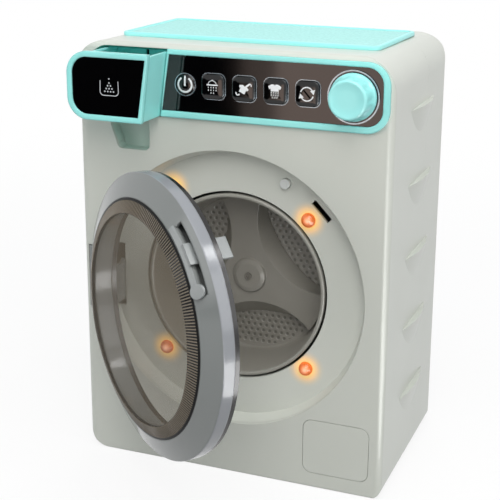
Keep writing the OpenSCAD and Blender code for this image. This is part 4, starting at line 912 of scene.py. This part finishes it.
# %% Powder picture on the drawer
DRAWER_X, DRAWER_Z = -68, 260
bm = bmesh.new()
for side in (-1, 1):
    bar(bm, side * 6.2, 4.4, side * 6.4, -2.2, 0.5)
arc(bm, -3.9, -2.2, 2.5, 0.5, 180, 270, 10)
arc(bm, 3.9, -2.2, 2.5, 0.5, 270, 360, 10)
bar(bm, -3.9, -4.7, 3.9, -4.7, 0.5)
for v, count in ((5.7, 1), (3.1, 1), (1.4, 2), (-0.4, 3), (-2.2, 4)):
    for k in range(count):
        disc(bm, (k - (count - 1) / 2) * 2.0, v, 0.52, 12)
print_on("powder_print", bm, DRAWER_X, DRAWER_Z, "drawer", nodes["drawer_plate"], ink=print_grey)

# %% [markdown]
# ## Knob
# The knob is turned: half a profile, spun about its axis. A real one has shallow scallops
# round its barrel for the fingers, so after the spin the barrel's vertices move in by a
# wave that repeats round the knob and dies out towards its face and its skirt.

# %% Turned knob
KNOB_X, KNOB_FRONT, SCALLOPS, SCALLOP_DEPTH = 81.8, 71.3, 10, 0.5
profile = [(3.0, 0.0), (14.5, 0.0), (14.5, 1.6), (14.2, 2.3), (13.5, 3.2), (13.1, 5.2), (12.7, 7.4),
           (12.4, 9.6), (12.15, 11.4), (11.8, 12.2), (11.2, 12.7), (10.6, 12.8), (10.1, 12.6),
           (5.0, 12.45), (0.0, 12.4)]
bm = bmesh.new()
chain = [bm.verts.new((r * MM, 0, w * MM)) for r, w in profile]
links = [bm.edges.new(pair) for pair in zip(chain, chain[1:])]
spin_whole(bm, chain + links, 160)
print("turned knob", len(bm.verts), "vertices")

# %% Scallops
for vert in bm.verts:
    w = vert.co.z / MM
    fade = max(0.0, min(1.0, (w - 2.3) / 1.6)) * max(0.0, min(1.0, (11.8 - w) / 2.2))
    turn = math.atan2(vert.co.y, vert.co.x)
    dip = SCALLOP_DEPTH * fade * (0.5 + 0.5 * math.cos(SCALLOPS * turn)) ** 2
    reach = math.hypot(vert.co.x, vert.co.y)
    if reach > 1e-6:
        vert.co.x *= 1 - dip * MM / reach
        vert.co.y *= 1 - dip * MM / reach
stand_up(bm, KNOB_X, BUTTON_ROW, KNOB_FRONT)
add_piece("scalloped_knob", bm, knob_mint, "teal", "knob_body", "knob", smooth=60)

# %% [markdown]
# ## Cover plate
# The cover is a thin plate with round corners, a soft upper edge and a field sunk a little
# inside its border. A block, two bevels and two insets of its top face make it, so it stays
# one closed piece in the place of the plain one.

# %% Moulded cover
low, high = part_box("top_cover")
bm = bmesh.new()
bmesh.ops.create_cube(bm, size=1.0)
bmesh.ops.scale(bm, verts=bm.verts, vec=high - low)
bmesh.ops.translate(bm, verts=bm.verts, vec=(high + low) / 2)
posts = [e for e in bm.edges if abs(e.verts[0].co.z - e.verts[1].co.z) > 1 * MM]
bmesh.ops.bevel(bm, geom=posts, offset=6 * MM, segments=8, affect="EDGES", profile=0.5,
                material=-1)
top = max(bm.faces, key=lambda f: f.calc_center_median().z)
bmesh.ops.bevel(bm, geom=top.edges[:], offset=1.0 * MM, segments=4, affect="EDGES", profile=0.5,
                material=-1)
for thickness, rise in ((1.5, 0.0), (0.45, -0.7)):
    top = max((f for f in bm.faces if f.normal.z > 0.99), key=lambda f: f.calc_area())
    bmesh.ops.inset_region(bm, faces=[top], thickness=thickness * MM, depth=rise * MM,
                           use_even_offset=True)
add_piece("moulded_cover", bm, finishes["teal_cover"], "teal_cover", "cabinet", "top_cover",
          smooth=40)

# %% [markdown]
# ## Window ribs
# The ribs catch the light one by one, which a bump cannot do at a glancing view, so each is
# a real bar: one beveled block laid on the slope and spun round the door's middle as a row
# of copies. The helper for the door then hangs the ring of bars on the open door.

# %% One rib
RIBS = 250
RIB_WIDTH, RIB_HEIGHT, RIB_LIFT = 0.84, 0.6, 0.1
SLOPE = math.atan2(3.5, 9.2)            # the window's edge rises this much towards its middle
WINDOW_RADIUS, WINDOW_FRONT = 74.2, 83.3
middle_r = (RIB_FROM + RIB_TO) / 2
middle_w = WINDOW_FRONT + (WINDOW_RADIUS - middle_r) * math.tan(SLOPE)
rib_finish = plastic("rib_plastic", paint(104, 94, 79), 0.2, 0.1, 0.001).mat
bm = bmesh.new()
bmesh.ops.create_cube(bm, size=1.0)
bmesh.ops.scale(bm, verts=bm.verts, vec=((RIB_TO - RIB_FROM) / math.cos(SLOPE) * MM,
                                         RIB_WIDTH * MM, RIB_HEIGHT * MM))
upper = [e for e in bm.edges if all(v.co.z > 0 for v in e.verts)
         and abs(e.verts[0].co.x - e.verts[1].co.x) > 1 * MM]
bmesh.ops.bevel(bm, geom=upper, offset=0.28 * MM, segments=2, affect="EDGES", profile=0.5,
                material=-1)
bmesh.ops.rotate(bm, verts=bm.verts, cent=(0, 0, 0), matrix=Matrix.Rotation(SLOPE, 3, "Y"))
bmesh.ops.translate(bm, verts=bm.verts, vec=(middle_r * MM, 0, (middle_w + RIB_LIFT) * MM))
print("one rib", len(bm.faces), "faces, at w", round(middle_w, 2), "mm")

# %% Ring of ribs
bmesh.ops.spin(bm, geom=bm.verts[:] + bm.edges[:] + bm.faces[:], cent=(0, 0, 0), axis=(0, 0, 1),
               angle=2 * math.pi * (RIBS - 1) / RIBS, steps=RIBS - 1, use_duplicate=True)
hang_on_door(bm)
add_piece("window_ribs", bm, rib_finish, "smoky_window", "door", smooth=40)

# %% [markdown]
# ## Window gap lip
# A thin black lip lies in the gap between the window and the ring: painted shade made as a part,
# for the dark shade of that gap. It could be painted on, but it stands proud and casts a fine
# shadow, so it is a small section spun once round the door's middle.

# %% Gap lip
# painted shade: a near-black lip stands in the gap between window and ring, for the shade there
gap_shade_lip = plastic("gap_shade_black", paint(6, 6, 6), 0.45, 0.1, 0.001)
gap_shade_lip.shader.inputs["Specular IOR Level"].default_value = 0.15
bm = bmesh.new()
section = [(73.0, 83.5), (74.2, 83.15), (74.2, 83.35), (73.8, 83.75), (73.05, 84.05)]
corners = [bm.verts.new((r * MM, 0, w * MM)) for r, w in section]
sides = [bm.edges.new((corners[i], corners[i - 1])) for i in range(len(corners))]
spin_whole(bm, corners + sides, 144)
hang_on_door(bm)
add_piece("window_gap_shade_lip", bm, gap_shade_lip.mat, "frame_black", "door", smooth=40)
